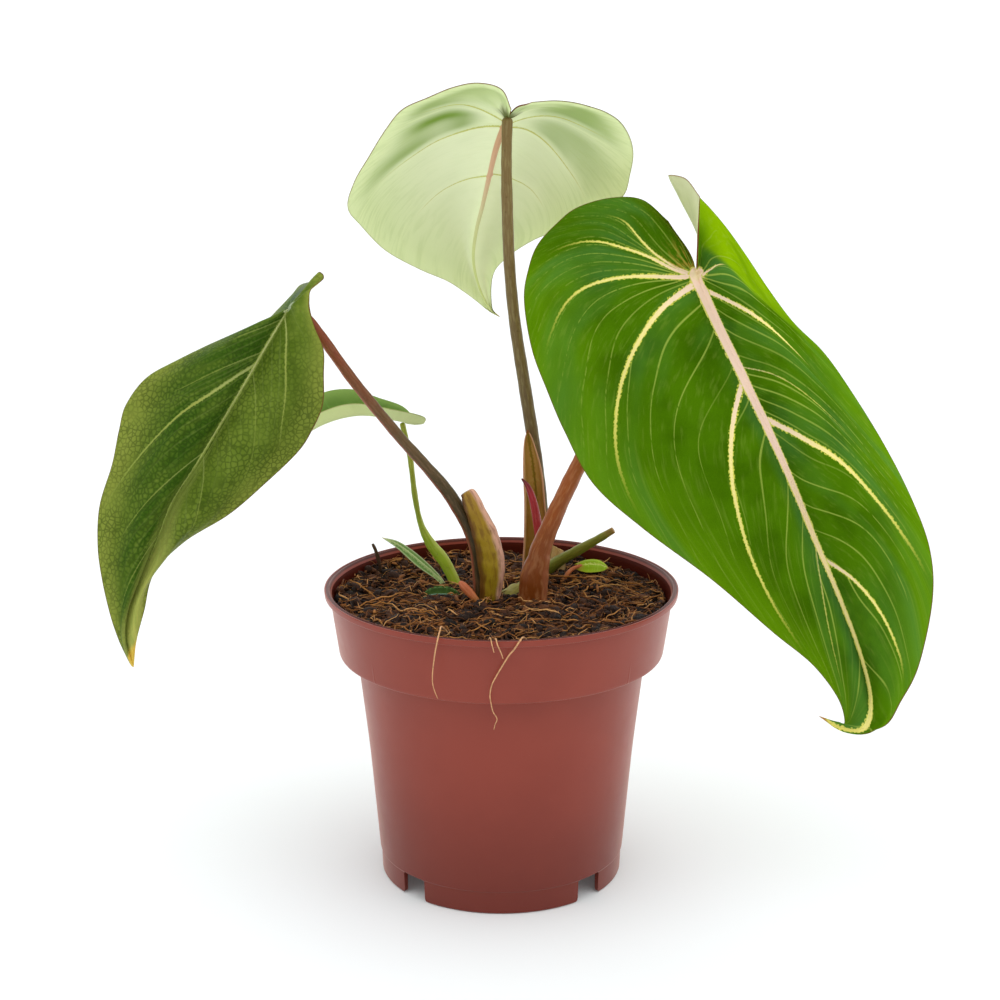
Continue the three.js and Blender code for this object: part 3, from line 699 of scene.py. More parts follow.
        count = middle.shape[0] * middle.shape[1]
        top = np.arange(count).reshape(middle.shape[:2])
        low = top + count
        rims = ((low[:, 0], top[:, 0]), (top[:, -1], low[:, -1]), (top[0], low[0]), (low[-1], top[-1]))
        upper_faces, lower_faces = quads(top), quads(low[:, ::-1])
        rim_faces = [face for strip in rims for face in quads(np.stack(strip, 1))]
        same = np.arange(2 * count)
        for ids in (top, low):
            same[ids[fan, centre]] = ids[0, centre]
            if pointed:
                same[ids[-1]] = ids[-1, 0]
        values = {
            "vein": number, "gap": gap, "width": width, "shown": shown, "rib": rib, "rib_width": rib_half,
            "run": run_of(middle[:, centre])[:, None], "along": along[:, None], "share": share,
            "margin": margin, "left": np.where(np.arange(2 * centre + 1) < centre, 1.0, 0.0)[None],
            "notch": t[:, None], "joint": np.linalg.norm(middle - middle[0, centre], axis=-1),
        }
        doubled = {name: np.tile((data + 0 * rib).ravel(), 2) for name, data in values.items()}
        finish_of_face = [0] * len(upper_faces) + [1] * len(lower_faces) + [0] * len(rim_faces)
        points = np.concatenate([over.reshape(-1, 3), below.reshape(-1, 3)])
        faces = upper_faces + lower_faces + rim_faces
        return Skin(points, faces, doubled, finish_of_face, self.SHARP).welded(same)

    def build(self, shop: Workshop) -> None:
        """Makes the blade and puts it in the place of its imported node."""
        piece = shop.make(f"fine_{self.node}", self.skin(), (self.upper, self.under))
        shop.install(piece, self.slot, [self.node])


class Lamina(Paint):
    """A blade's finish under construction, with the numbers that the blade's mesh carries."""

    def __init__(self, name: str, gloss: float, shine: float) -> None:
        """Starts a material and reads the mesh's numbers.

        Args:
            name: The material's name.
            gloss: Its roughness.
            shine: The strength of its reflection.
        """
        super().__init__(name, gloss, Specular_IOR_Level=shine)
        self.vein, self.gap, self.width, self.shown = map(self.value, ("vein", "gap", "width", "shown"))
        self.rib, self.rib_width = map(self.value, ("rib", "rib_width"))
        self.run, self.along = map(self.value, ("run", "along"))
        self.share, self.margin, self.left = map(self.value, ("share", "margin", "left"))
        self.notch, self.joint = map(self.value, ("notch", "joint"))
        self.right = self.maths("SUBTRACT", 1.0, self.left)
        self.web = self.vector(self.vein, self.rib, self.left)
        self.off = self.times(self.maths("PINGPONG", self.vein, 0.5), self.gap)
        self.jag = self.patches(0.8, 3, 0.34, 0.66)

    def drawn_out(self, detail: float, across: float, length: float, halves: float) -> Socket:
        """Adds noise that is drawn out along the side veins.

        Args:
            detail: How many finer layers it has.
            across: How many lumps fit between two side veins.
            length: One over a lump's length in millimetres.
            halves: How far apart the noise of the two halves lies.

        Returns:
            The noise.
        """
        return self.noise(1, detail, self.vector_maths("MULTIPLY", self.web, (across, length, halves)))

    def streaks(self, across: float, length: float, low: float, high: float, detail: float = 2) -> Socket:
        """Draws soft streaks that follow the side veins.

        Args:
            across: How many fit between two side veins.
            length: One over their length in millimetres.
            low: The noise below which nothing shows.
            high: The noise above which they show fully.
            detail: How many finer layers the noise has.

        Returns:
            How strongly they show, from 0 to 1.
        """
        return self.step(self.drawn_out(detail, across, length, 5.0), low, high)

    def line(self, away: Feed, half: Feed, soft: float) -> Socket:
        """Draws a line with a soft edge.

        Args:
            away: The distance from its middle.
            half: Half its width.
            soft: How far its edge fades.

        Returns:
            How strongly it shows, from 0 to 1.
        """
        return self.step(self.maths("SUBTRACT", away, half), soft, -soft)


@dataclass(frozen=True)
class UpperFinish:
    """The veined, softly glossy upper side of a blade, with streaks of painted sheen.

    Attributes:
        name: The material's name.
        deep: The darker green of the lamina.
        fresh: The lighter green that it is mottled with.
        edge_green: The green of the outer part of the lamina.
        inner: The green of the inner part of the left half, where inner_share lets it show.
        line: The fine lines between the side veins.
        vein: The ragged sides of the side veins.
        heart: The side veins' middle.
        rib_stops: Colours of the midrib's middle from the joint to the tip.
        rib_side: The midrib's toothed sides.
        rim: The thin line along the margin.
        tip: The tip's colour.
        notch: The tint beside the notch.
        joint: The middle of the star where the veins meet.
        gloss: The roughness of the surface.
        inner_share: How strongly the inner green shows.
        lined: How strongly the thin lines between the side veins show.
        net: How strongly dark lines part the lamina into small cells.
        band: How strongly pale streaks lie beside the midrib.
        pale_band: The colour under these streaks towards the tip.
        satin: The cooler green of painted sheen, streaks that stand in for the shine along the veins and
            beside the midrib.
        satined: How strongly that painted sheen shows.
        fold: The bright green of the right lobe's turned-up part, which light shines through.
        folded: How strongly it shows.
        shine: The strength of the surface's reflection.
        source: The side veins' middle where they leave the midrib.
        tip_from: Where on the midrib the tip's colour begins.
    """

    name: str
    deep: str
    fresh: str
    edge_green: str
    line: str
    vein: str
    heart: str
    rib_stops: Stops
    rib_side: str
    rim: str
    tip: str
    notch: str
    joint: str
    gloss: float = 0.45
    inner: str = "#325410"
    inner_share: float = 0.0
    lined: float = 0.6
    net: float = 0.0
    band: float = 0.0
    pale_band: str = "#a0a04c"
    satin: str = "#4c8440"
    satined: float = 0.0
    fold: str = "#86b010"
    folded: float = 0.0
    shine: float = 0.04
    source: str = "#b4c888"
    tip_from: float = 0.93

    STAR = "#b8943c"
    NET_LINE = "#2c3c10"
    CELL = 1.7  # millimetres

    def material(self) -> Material:
        """Builds the finish."""
        p = Lamina(self.name, self.gloss, self.shine)
        self.lamina(p)
        fine = p.streaks(24.0, 0.2, 0.5, 0.72)
        p.lay(self.line, fine, 0.1)
        height = p.linear(fine, 0.5, p.noise(0.5, 2))
        if self.net:
            feeds = {"Vector": p.place, "Scale": 1 / self.CELL, "Randomness": 0.8}
            kind = "ShaderNodeTexVoronoi"
            cells = p.node(kind, feeds, feature="DISTANCE_TO_EDGE").outputs["Distance"]
            wall = p.times(p.step(cells, 0.2, 0.0), p.step(p.joint, 6, 20))
            uneven = p.linear(p.patches(11, 3, 0.3, 0.62), 0.6, 0.4)
            p.lay(self.NET_LINE, wall, uneven, self.net)
            lit = p.step(cells, 0.12, 0.42)
            p.lay(self.edge_green, lit, p.patches(7, 3, 0.3, 0.7), 0.4 * self.net)
            height = p.linear(p.step(cells, 0.0, 0.3), 1.2, height)
        self.thin_lines(p)
        if self.band:
            across = p.vector(p.times(p.rib, 1.8), p.times(p.run, 0.07), p.left)
            strands = p.step(p.noise(1, 3, across), 0.34, 0.62)
            wide = p.linear(p.step(p.along, 0.15, 0.8), 5.0, 1.6)
            near = p.step(p.maths("DIVIDE", p.rib, wide), 1.5, 0.5)
            down = p.step(p.along, 0.35, 0.8)
            p.lay(self.pale_band, near, p.linear(p.left, -0.6, 1.0), down, 0.75)
            p.lay(self.vein, strands, near, p.linear(p.left, -0.7, 1.0), self.band)
        self.veins(p)
        self.edges(p)
        return p.wear(height, 0.06)

    def lamina(self, p: Lamina) -> None:
        """Mottles the greens of the lamina.

        Args:
            p: The finish under construction.
        """
        p.skin = p.blend(p.patches(16, 4, 0.35, 0.65), self.deep, self.fresh)
        p.lay(self.edge_green, p.step(p.share, 0.5, 1.05), 0.85)
        p.lay(self.inner, p.step(p.share, 0.92, 0.45), p.left, self.inner_share)
        if self.satined:
            p.lay(self.deep, p.step(p.notch, 0.36, 0.24), p.left, 0.75)
            # painted sheen: cooler green streaks along the side veins
            p.lay(self.satin, p.streaks(1.4, 0.02, 0.42, 0.7), self.satined)
            # a band of painted sheen beside the midrib on the left half
            beside = p.step(p.rib, 9, 3)
            p.lay(self.satin, beside, p.left, p.step(p.along, 0.05, 0.3), self.satined)
        # painted light: the right lobe's turned-up part in bright green, as light shines through it
        if self.folded:
            up = p.times(p.step(p.notch, 0.04, 0.26), p.step(p.notch, 0.46, 0.36))
            out = p.step(p.share, p.linear(p.notch, 0.4, 0.2), p.linear(p.notch, 0.4, 0.3))
            p.lay(self.fold, p.right, up, out, self.folded)
            # painted sheen on the fold's inner part, nearer the midrib
            p.lay(self.satin, p.right, up, p.maths("SUBTRACT", 1.0, out), self.satined)
        p.lay(self.fresh, p.streaks(2.6, 0.06, 0.4, 0.66), 0.4)

    def thin_lines(self, p: Lamina) -> None:
        """Draws thin lines between each two side veins, dotted towards the margin.

        Args:
            p: The finish under construction.
        """
        strayed = p.linear(p.noise(34, 0), 0.35, p.vein)
        third = p.maths("PINGPONG", p.times(strayed, 4.0), 0.5)
        away = p.times(third, p.times(p.gap, 0.25))
        thin = p.line(away, p.linear(p.share, -0.1, 0.24), 0.14)
        dots = p.drawn_out(2, 3.0, 0.7, 3.0)
        broken = p.step(p.maths("SUBTRACT", dots, p.linear(p.share, 0.4, 0.16)), -0.1, 0.14)
        kept = p.step(p.drawn_out(1, 1.1, 0.012, 3.0), 0.3, 0.56)
        fading = p.times(p.linear(p.share, -0.5, 0.75), p.linear(kept, 0.75, 0.25))
        p.lay(self.line, thin, broken, fading, self.lined)

    def veins(self, p: Lamina) -> None:
        """Draws the side veins and the midrib, each with ragged sides.

        Args:
            p: The finish under construction.
        """
        spread = p.times(p.width, p.linear(p.jag, 0.55, 0.78))
        spread = p.linear(p.jag, 0.18, spread)
        p.lay(self.vein, p.line(p.off, spread, 0.16), p.shown)
        slim = p.times(p.width, p.linear(p.jag, 0.2, 0.72))
        heart = p.blend(p.step(p.share, 0.08, 0.4), self.source, self.heart)
        p.lay(heart, p.line(p.off, slim, 0.12), p.shown, p.step(p.share, 1.0, 0.35))
        if self.satined:
            star = p.times(p.step(p.joint, 17, 4), p.step(p.notch, 0.3, 0.2))
            p.lay(self.STAR, star, p.left, p.streaks(9.0, 0.2, 0.44, 0.6), 0.75)
        saw = p.linear(p.rib_width, 0.9, p.times(p.jag, 0.6))
        p.lay(self.rib_side, p.line(p.rib, saw, 0.15))
        half = p.linear(p.rib_width, 0.88, p.times(p.jag, -0.12))
        p.lay(p.ramp(p.along, self.rib_stops), p.line(p.rib, half, 0.2))
        p.lay(self.joint, p.line(p.linear(p.jag, -0.8, p.joint), 1.6, 0.8))

    def edges(self, p: Lamina) -> None:
        """Colours the notch, the margin and the tip.

        Args:
            p: The finish under construction.
        """
        p.lay(self.notch, p.step(p.notch, 0.09, 0.0), p.step(p.joint, 2, 7), p.left, 0.75)
        p.lay(self.rim, p.line(p.margin, 0.3, 0.2), p.linear(p.right, 0.3, 0.6))
        p.lay(self.rim, p.step(p.notch, 0.004, 0.001), p.step(p.joint, 2, 5))
        p.lay(self.tip, p.step(p.along, self.tip_from, 0.6 * self.tip_from + 0.4))


@dataclass(frozen=True)
class UnderFinish:
    """The paler underside of a blade, with raised ribs.

    Attributes:
        name: The material's name.
        centre: The colour near the joint and along the midrib.
        patch: The greener patches of the lobes.
        outer: The colour towards the margin.
        thread: The fine lines that run out to the margin.
        vein: The side veins.
        rib_stops: Colours of the midrib from the joint to the tip.
        rim: The thin line along the margin.
        joint: The dark foot of the lobes at the joint.
        gloss: The roughness of the surface.
        patched: How strongly the green patches show.
        footed: How strongly the dark foot shows.
    """

    name: str
    centre: str
    patch: str
    outer: str
    thread: str
    vein: str
    rib_stops: Stops
    rim: str
    joint: str = "#5c6420"
    gloss: float = 0.55
    patched: float = 0.7
    footed: float = 0.0

    def material(self) -> Material:
        """Builds the finish."""
        p = Lamina(self.name, self.gloss, 0.03)
        low = p.step(p.notch, 0.3, 0.75)
        start = p.linear(low, -0.2, 0.5)
        p.skin = p.blend(p.step(p.share, start, 1.05), self.centre, self.outer)
        p.lay(self.outer, p.step(p.vein, 1.15, 0.7), p.step(p.share, 0.0, 0.4), 0.85)
        between = p.times(p.step(p.vein, 1.05, 1.45), p.step(p.vein, 2.08, 1.8))
        between = p.times(between, p.step(p.share, 0.05, 0.4), p.step(p.share, 1.0, 0.6))
        clouds = p.streaks(0.9, 0.03, 0.2, 0.62, 1)
        lobe = p.step(p.vein, 1.25, 0.95)
        held = p.linear(between, p.linear(p.left, -0.55, 1.0), 0.15)
        held = p.maths("MAXIMUM", p.times(lobe, 0.75), held)
        inside = (p.step(p.share, 0.02, 0.3), p.step(p.margin, 0.5, 9))
        p.lay(self.patch, clouds, held, *inside, self.patched)
        fine = p.streaks(24.0, 0.1, 0.45, 0.66)
        p.lay(self.thread, fine, p.linear(p.step(p.share, 0.3, 0.9), 0.14, 0.04))
        halo = p.times(p.step(p.off, 2.4, 0.4), p.shown)
        p.lay(self.centre, halo, 0.4)
        spread = p.times(p.width, p.linear(p.jag, 0.3, 0.55))
        p.lay(self.vein, p.line(p.off, spread, 0.18), p.shown, 0.85)
        rib = p.ramp(p.along, self.rib_stops)
        p.lay(rib, p.line(p.rib, p.times(p.rib_width, 0.8), 0.22))
        creases = p.linear(p.streaks(4.0, 0.1, 0.35, 0.7), 3.0, 4.0)
        dark = p.step(p.maths("DIVIDE", p.joint, creases), 1.2, 0.3)
        p.lay(self.joint, dark, p.step(p.notch, 0.36, 0.24), self.footed)
        p.lay(self.outer, p.step(p.along, 0.86, 1.0), 0.8)
        p.lay(self.rim, p.line(p.margin, 0.3, 0.2), 0.5)
        height = p.linear(fine, 0.6, p.noise(0.6, 2))
        return p.wear(height, 0.05)


# ------------------------------------------------------------------ stalks


@dataclass(frozen=True)
class StalkFinish:
    """The skin of a stalk, shoot or stem.

    Attributes:
        name: The material's name.
        stops: Colours from the top to the foot.
        streak: The colour of its fine lengthwise streaks.
        streaked: How strongly they show.
        speck: The colour of its small specks.
        specked: How strongly they show.
        gloss: The roughness of the surface.
        relief: Depth of its fine grooves, in millimetres.
        facing: The colour of the side that faces right.
        faced: How strongly that colour shows.
        leaning: The colour of the side that faces left.
        leaned: How strongly that colour shows.
    """

    name: str
    stops: Stops
    streak: str
    streaked: float = 0.5
    speck: str = "#2a1a0c"
    specked: float = 0.3
    gloss: float = 0.4
    relief: float = 0.06
    facing: str = "#c8b890"
    faced: float = 0.0
    leaning: str = "#8c5c30"
    leaned: float = 0.0

    def material(self) -> Material:
        """Builds the finish."""
        paint = Paint(self.name, self.gloss, Specular_IOR_Level=0.25)
        turn = paint.value("turn_x")
        place = paint.maths("SUBTRACT", paint.value("along"), 0.08)
        paint.skin = paint.ramp(paint.linear(paint.noise(6, 2), 0.16, place), self.stops)
        around = paint.vector(turn, paint.value("turn_y"), paint.times(paint.value("run"), 0.06))
        ragged = paint.linear(paint.noise(4, 2), 0.3, turn)
        paint.lay(self.facing, paint.step(ragged, -0.2, -0.62), self.faced)
        paint.lay(self.leaning, paint.step(ragged, 0.6, 1.0), self.leaned)
        streaks = paint.step(paint.noise(0.28, 4, around), 0.45, 0.68)
        paint.lay(self.streak, streaks, self.streaked)
        paint.lay(self.speck, paint.patches(0.9, 3, 0.6, 0.74), self.specked)
        height = paint.maths("ADD", paint.noise(0.18, 3, around), paint.times(paint.noise(0.7, 3), 0.6))
        return paint.wear(height, self.relief)


@dataclass
class Stalk:
    """A round or flattened stem that follows stations.

    Attributes:
        node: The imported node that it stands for, or nothing for a trim piece.
        table: Rows of x, y, z, half width and half depth, the foot last.
        slot: The record's material slot.
        finish: Its material.
        sides: Corners round it.
        steps: Rings for each station.
        deep: The direction that the depth is measured along.
        dome: How far its ends are rounded, as a share of their radius.
        lumps: How uneven its surface is, in millimetres.
        start: How much of its top is left off behind the blade, as a share of its length.
        piece: The piece's name where the stalk is only a part of its node.
    """

    node: str
    table: Table
    slot: str
    finish: Material
    sides: int = 36
    steps: int = 16
    deep: tuple[float, float, float] = (0, 1, 0)
    dome: float = 0.8
    lumps: float = 0.0
    start: float = 0.0
    piece: str = ""

    CAP_RINGS = 5

    def relief(self, angle: Array, along: Array, run: Array) -> Array:
        """Gives what is added to the radius, in millimetres.

        Args:
            angle: Angles round the stalk.
            along: Places from 0 at the top to 1 at the foot.
            run: The same places in millimetres from the top.

        Returns:
            One number for each place and angle.
        """
        wave = np.sin(run * 0.55 + 1.7 * np.sin(angle)) + 0.6 * np.sin(run * 1.3 + 2 * angle + 1)
        return 0.5 * self.lumps * wave

    def cap(self, end: Array, outward: Array, turns: Array) -> list[tuple[float, ...]]:
        """Rounds an end.

        Args:
            end: The end's station.
            outward: The direction out of the stalk.
            turns: Angles from the tube's side to its pole.

        Returns:
            One station for each angle.
        """
        bulge = outward * end[4] * self.dome
        return [(*(end[:3] + bulge * np.sin(a)), *(end[3:] * np.cos(a))) for a in turns]

    def skin(self) -> Skin:
        """Builds the closed tube.

        Returns:
            Its surface, with places along and round it for the finish.
        """
        rows = np.array([[*row, row[-1]] if len(row) == 4 else row for row in self.table], float)
        t = np.linspace(self.start, 1, (len(rows) - 1) * self.steps + 1)
        data = spline(rows, t)
        run = unit(spline(rows, t + 1e-3)[:, :3] - spline(rows, t - 1e-3)[:, :3])
        turns = np.linspace(0, np.pi / 2, self.CAP_RINGS, endpoint=False)[::-1]
        top, foot = self.cap(data[0], -run[0], turns[:-1]), self.cap(data[-1], run[-1], turns[-2::-1])
        data = np.vstack([top, data, foot])
        run = np.vstack([[run[0]] * len(top), run, [run[-1]] * len(foot)])
        centre, radii = data[:, :3], data[:, 3:]
        deep = np.array(self.deep, float)
        depth = unit(deep - run * (run @ deep)[:, None])
        across = np.cross(depth, run)
        length = run_of(centre)
        angle = np.linspace(0, 2 * np.pi, self.sides, endpoint=False)[None]
        along = (length / length[-1])[:, None]
        swell = self.relief(angle, along, length[:, None])
        wide = (radii[:, :1] + swell)[..., None] * np.cos(angle)[..., None]
        far = (radii[:, 1:2] + swell)[..., None] * np.sin(angle)[..., None]
        ring = centre[:, None] + across[:, None] * wide + depth[:, None] * far
        count = ring.shape[0] * self.sides
        ids = np.arange(count).reshape(ring.shape[:2])
        faces = quads(np.hstack([ids, ids[:, :1]]).T)
        faces += [(count, b, a) for a, b in zip(ids[0], np.roll(ids[0], -1))]
        faces += [(count + 1, a, b) for a, b in zip(ids[-1], np.roll(ids[-1], -1))]
        points = np.vstack([ring.reshape(-1, 3), centre[:1], centre[-1:]])
        grids = {  # the numbers on the tube, and at its two poles
            "turn_x": (np.cos(angle), 0, 0), "turn_y": (np.sin(angle), 0, 0),
            "run": (length[:, None], 0, length[-1]), "along": (along, 0, 1),
        }
        flat = 0 * (along + angle)
        values = {name: np.append((grid + flat).ravel(), ends) for name, (grid, *ends) in grids.items()}
        return Skin(points, [tuple(int(c) for c in face) for face in faces], values)

    def build(self, shop: Workshop) -> None:
        """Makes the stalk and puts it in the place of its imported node."""
        name = self.piece or f"fine_{self.node}"
        nodes = [] if self.piece else [self.node]
        shop.install(shop.make(name, self.skin(), [self.finish]), self.slot, nodes)


@dataclass
class LeafSheath(Stalk):
    """A stalk with a sheath at its foot, whose one edge laps over the other."""

    lap: float = 0.45  # how far the lapping edge stands out, in millimetres
    lap_turn: float = -0.9  # the angle that the edge lies at
    lap_start: float = 0.02  # where along the stalk it starts
    lap_lean: float = 0.9  # how far it turns from end to end

    def relief(self, angle: Array, along: Array, run: Array) -> Array:
        """Adds the lapping edge to the stalk's own relief; see Stalk.relief."""
        edge = self.lap_turn + self.lap_lean * (along - 0.4)
        behind = np.mod(angle - edge, 2 * np.pi)
        step = smooth(behind, 0, 0.12) * smooth(behind, 3.6, 0.3)
        grown = smooth(along, self.lap_start, self.lap_start + 0.18)
        return super().relief(angle, along, run) + self.lap * step * grown


# ------------------------------------------------------------------ pot


@dataclass
class Pot:
    """The thin-walled nursery pot.

    Attributes:
        finish: The plastic outside.
        lining: The plastic inside, darkened with painted shade.
        segments: Corners round it.
    """

    finish: Material
    lining: Material
    segments: int = 240

    PROFILE = (  # radius, height and rounding of each corner
        (39.6, 8.5, 0.4), (40.2, 8.1, 0.3), (40.2, 0, 0.3), (41.6, 0, 0.4), (41.9, 7.7, 0.25),
        (42.3, 8.1, 0.3), (45.4, 45, 8), (49.3, 79.2, 0.7), (54.9, 78.9, 0.6), (55.3, 79.8, 0.6),
        (58, 99.0, 0.4), (59.8, 99.5, 0.35), (60, 101.5, 0.4), (59.5, 101.5, 0.15), (59.25, 101.1, 0.3),
        (58.75, 101.1, 0.3), (58.5, 101.5, 0.15), (58.2, 101.5, 0.3), (57, 99.2, 1.0),
        (54.3, 81, 0.8), (48.3, 80.4, 0.8), (44.4, 45, 8), (41.3, 9.9, 0.6),
    )
    LINING = (  # height and the radius within which the shell wears the lining
        (0, 0), (9, 0), (10, 42), (79, 48.6), (82, 54.8), (99, 57.4), (101.2, 58),
    )
    FLOOR_MIDDLE = 20.0  # a radius where the floor is flat
    FLOOR_FACES = (8.5, 9.9)  # heights of its two faces
    CORNER_POINTS = 4
    SHARP = 40.0  # degrees
    WALL = (36, 47)  # the radii between which the notches' cutters reach
    FLOOR = (7, 11)  # the heights between which the drain holes' cutters reach
    NOTCHES = 4
    NOTCH_HALF = 5.0
    NOTCH_TOP = 8.0
    NOTCH_CORNER = 1.5
    NOTCH_CUT = 0.6
    DRAINS = 8
    DRAIN_SIDES = 32
    DRAIN_RADIUS = 3.5
    DRAIN_CIRCLE = 27.0

    def outline(self) -> Array:
        """Rounds the profile's corners.

        Returns:
            Rows of radius and height, outwards from the floor's underside.
        """
        under, top = ((self.FLOOR_MIDDLE, height) for height in self.FLOOR_FACES)
        corners = np.array([under, *[c[:2] for c in self.PROFILE], top])
        before, after = corners[:-2], corners[2:]
        rows = []
        for (r, z, ease), a, c in zip(self.PROFILE, before, after):
            b = np.array([r, z])
            cut_a = b + unit(a - b) * min(ease, 0.45 * np.linalg.norm(a - b))
            cut_c = b + unit(c - b) * min(ease, 0.45 * np.linalg.norm(c - b))
            for u in np.linspace(0, 1, self.CORNER_POINTS):
                rows.append(cut_a * (1 - u) ** 2 + 2 * b * u * (1 - u) + cut_c * u * u)
        return np.array([(0, under[1]), under, *rows, top, (0, top[1])])

    def skin(self) -> Skin:
        """Turns the outline round the axis.

        Returns:
            The closed shell.
        """
        line = self.outline()
        heights, radii = np.array(self.LINING).T
        inside = line[:, 0] < np.interp(line[:, 1], heights, radii)
        angle = np.linspace(0, 2 * np.pi, self.segments, endpoint=False)[:, None]
        radius, height = line[None, :, 0], line[None, :, 1] + 0 * angle
        points = np.stack([radius * np.cos(angle), radius * np.sin(angle), height], -1)
        return turned(points, self.SHARP, np.tile(inside[:-1].astype(int), self.segments).tolist())

    def prism(self, outline: Array, low: float, high: float, turn: float, out: float) -> Skin:
        """Extrudes a cutter and turns it round the pot's axis.

        Args:
            outline: Corners across and along the extrusion's section, counted anticlockwise.
            low: Where the extrusion starts.
            high: Where it ends.
            turn: The angle round the axis.
            out: How far out the section's middle lies, or 0 where the extrusion runs outwards.

        Returns:
            The cutter.
        """
        n = len(outline)
        if out:
            rows = [(out + x, y, z) for z in (low, high) for x, y in outline]
        else:
            rows = [(z, x, y) for z in (low, high) for x, y in outline]
        c, s = math.cos(turn), math.sin(turn)
        points = np.array([(c * x - s * y, s * x + c * y, z) for x, y, z in rows])
        sides = [(k, (k + 1) % n, n + (k + 1) % n, n + k) for k in range(n)]
        return Skin(points, [tuple(range(n))[::-1], tuple(range(n, 2 * n)), *sides])

    def cutters(self) -> Skin:
        """Builds the notches between the feet and the drain holes.

        Returns:
            All the cutters in one skin.
        """
        h, c, top = self.NOTCH_HALF, self.NOTCH_CORNER, self.NOTCH_TOP
        bow = [(h + c * (1 - u) ** 2, c * u * u) for u in np.linspace(0, 1, 5)]
        right = [(h + c, -1), *bow, (h, top - self.NOTCH_CUT), (h - self.NOTCH_CUT, top)]
        notch = np.array([*right, *[(-x, y) for x, y in reversed(right)]])
        turns = 2 * math.pi * np.arange(self.DRAIN_SIDES) / self.DRAIN_SIDES
        drain = self.DRAIN_RADIUS * np.stack([np.cos(turns), np.sin(turns)], 1)
        part, hole = 2 * math.pi / self.NOTCHES, 2 * math.pi / self.DRAINS
        cuts = [self.prism(notch, *self.WALL, (k + 0.5) * part, 0) for k in range(self.NOTCHES)]
        cuts += [self.prism(drain, *self.FLOOR, k * hole, self.DRAIN_CIRCLE) for k in range(self.DRAINS)]
        points, faces = [], []
        for cut in cuts:
            faces += [tuple(c + len(points) for c in face) for face in cut.faces]
            points += cut.points.tolist()
        return Skin(np.array(points), faces)

    def build(self, shop: Workshop) -> None:
        """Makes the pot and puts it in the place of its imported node."""
        piece = shop.make("fine_pot", self.skin(), [self.finish, self.lining])
        cutter = shop.make("pot_cutters", self.cutters(), [self.finish], smooth_faces=False)
        cut = piece.modifiers.new("openings", "BOOLEAN")
        cut.operation, cut.solver, cut.object = "DIFFERENCE", "EXACT", cutter
        finished = evaluated(piece)
        piece.modifiers.remove(cut)
        piece.data = finished
        bpy.data.objects.remove(cutter)
        finished.set_sharp_from_angle(angle=math.radians(self.SHARP))
        shop.install(piece, "pot_plastic", ["pot"])


@dataclass(frozen=True)
class Plastic:
    """Satin, slightly scuffed terracotta-coloured plastic, with painted shade towards the foot and on the
    lip's top.
    """

    name: str = "terracotta_plastic"
    body: str = "#8f3b2c"
    dust: str = "#a86450"
    deep: str = "#7c2f22"
    shine: float = 0.3
    sheen: float = 0.5
    mould_turns: tuple[float, ...] = (-48.0, 48.0, 132.0, -132.0)  # degrees from the front
    # the colour of the painted shade, on the lip's top and towards the foot
    lip: str = "#4c160e"
    lip_reach: tuple[float, float] = (57.6, 59.6)  # radii of the painted shade on the lip's top, over its groove
    lip_rise: tuple[float, float] = (100.6, 101.0)  # heights between which the groove begins
    shade: tuple[float, float] = (62.0, 2.0)  # heights between which painted shade darkens the foot
    shaded: float = 0.5  # how strongly that painted shade shows
    mould_top: float = 88.0
    collar_foot: float = 79.4

    def material(self, placement: Placement) -> Material:
        """Builds the finish.

        Args:
            placement: Where the pot's axis is.

        Returns:
            The plastic.
        """
        sheen = {"Sheen_Weight": self.sheen, "Sheen_Roughness": 0.3, "Sheen_Tint": "#f0c0b0"}
        paint = Paint(self.name, 0.36, self.body, Specular_IOR_Level=self.shine, **sheen)
        centre = (placement.axis_x / MM, placement.axis_y / MM, 0.0)
        place = paint.vector_maths("SUBTRACT", paint.place, centre)
        x, y, z = paint.parts(place)
        paint.lay(self.deep, paint.patches(26, 4, 0.35, 0.7))
        paint.lay(self.body, 0.7)
        # painted shade: the plastic darkens towards the foot
        paint.lay(self.lip, paint.step(z, *self.shade), self.shaded)
        # painted shade: a dark ring on the top of the lip
        out = paint.vector_maths("LENGTH", paint.vector_maths("MULTIPLY", place, (1, 1, 0)))
        inner, outer = self.lip_reach
        ring = paint.times(paint.step(out, inner, inner + 0.3), paint.step(out, outer, outer - 0.3))
        paint.lay(self.lip, ring, paint.step(z, *self.lip_rise), 0.9)
        paint.lay(self.dust, paint.patches(0.7, 2, 0.7, 0.78), 0.2)
        angle = paint.maths("ARCTAN2", x, paint.times(y, -1.0))
        height = paint.times(paint.noise(0.35, 3), 0.25)
        low = paint.step(z, self.mould_top, self.mould_top - 6)
        span = paint.times(low, paint.step(z, self.collar_foot - 0.3, self.collar_foot))
        for turn in self.mould_turns:
            away = paint.maths("ABSOLUTE", paint.maths("SUBTRACT", angle, math.radians(turn)))
            height = paint.linear(paint.times(paint.step(away, 0.008, 0.003), span), 2.0, height)
        rough = paint.linear(paint.noise(5, 4), 0.14, 0.3)
        paint.feed(paint.shader.inputs["Roughness"], rough)
        return paint.wear(height, 0.03)


# ------------------------------------------------------------------ potting mix


@dataclass(frozen=True)
class FibreFinish:
    """Coir, peat or crumbs, each strand with its own tone.

    Attributes:
        name: The material's name.
        tones: Colours that the strands are spread over.
        gloss: The roughness of the surface.
    """

    name: str
    tones: Stops
    gloss: float

    def material(self) -> Material:
        """Builds the finish."""
        paint = Paint(self.name, self.gloss, Specular_IOR_Level=0.25)
        paint.skin = paint.ramp(paint.value("tone"), self.tones)
        dirt = paint.patches(0.9, 4, 0.4, 0.7)
        paint.lay("#2b170c", dirt, 0.35)
        return paint.wear(paint.noise(0.3, 3), 0.08)


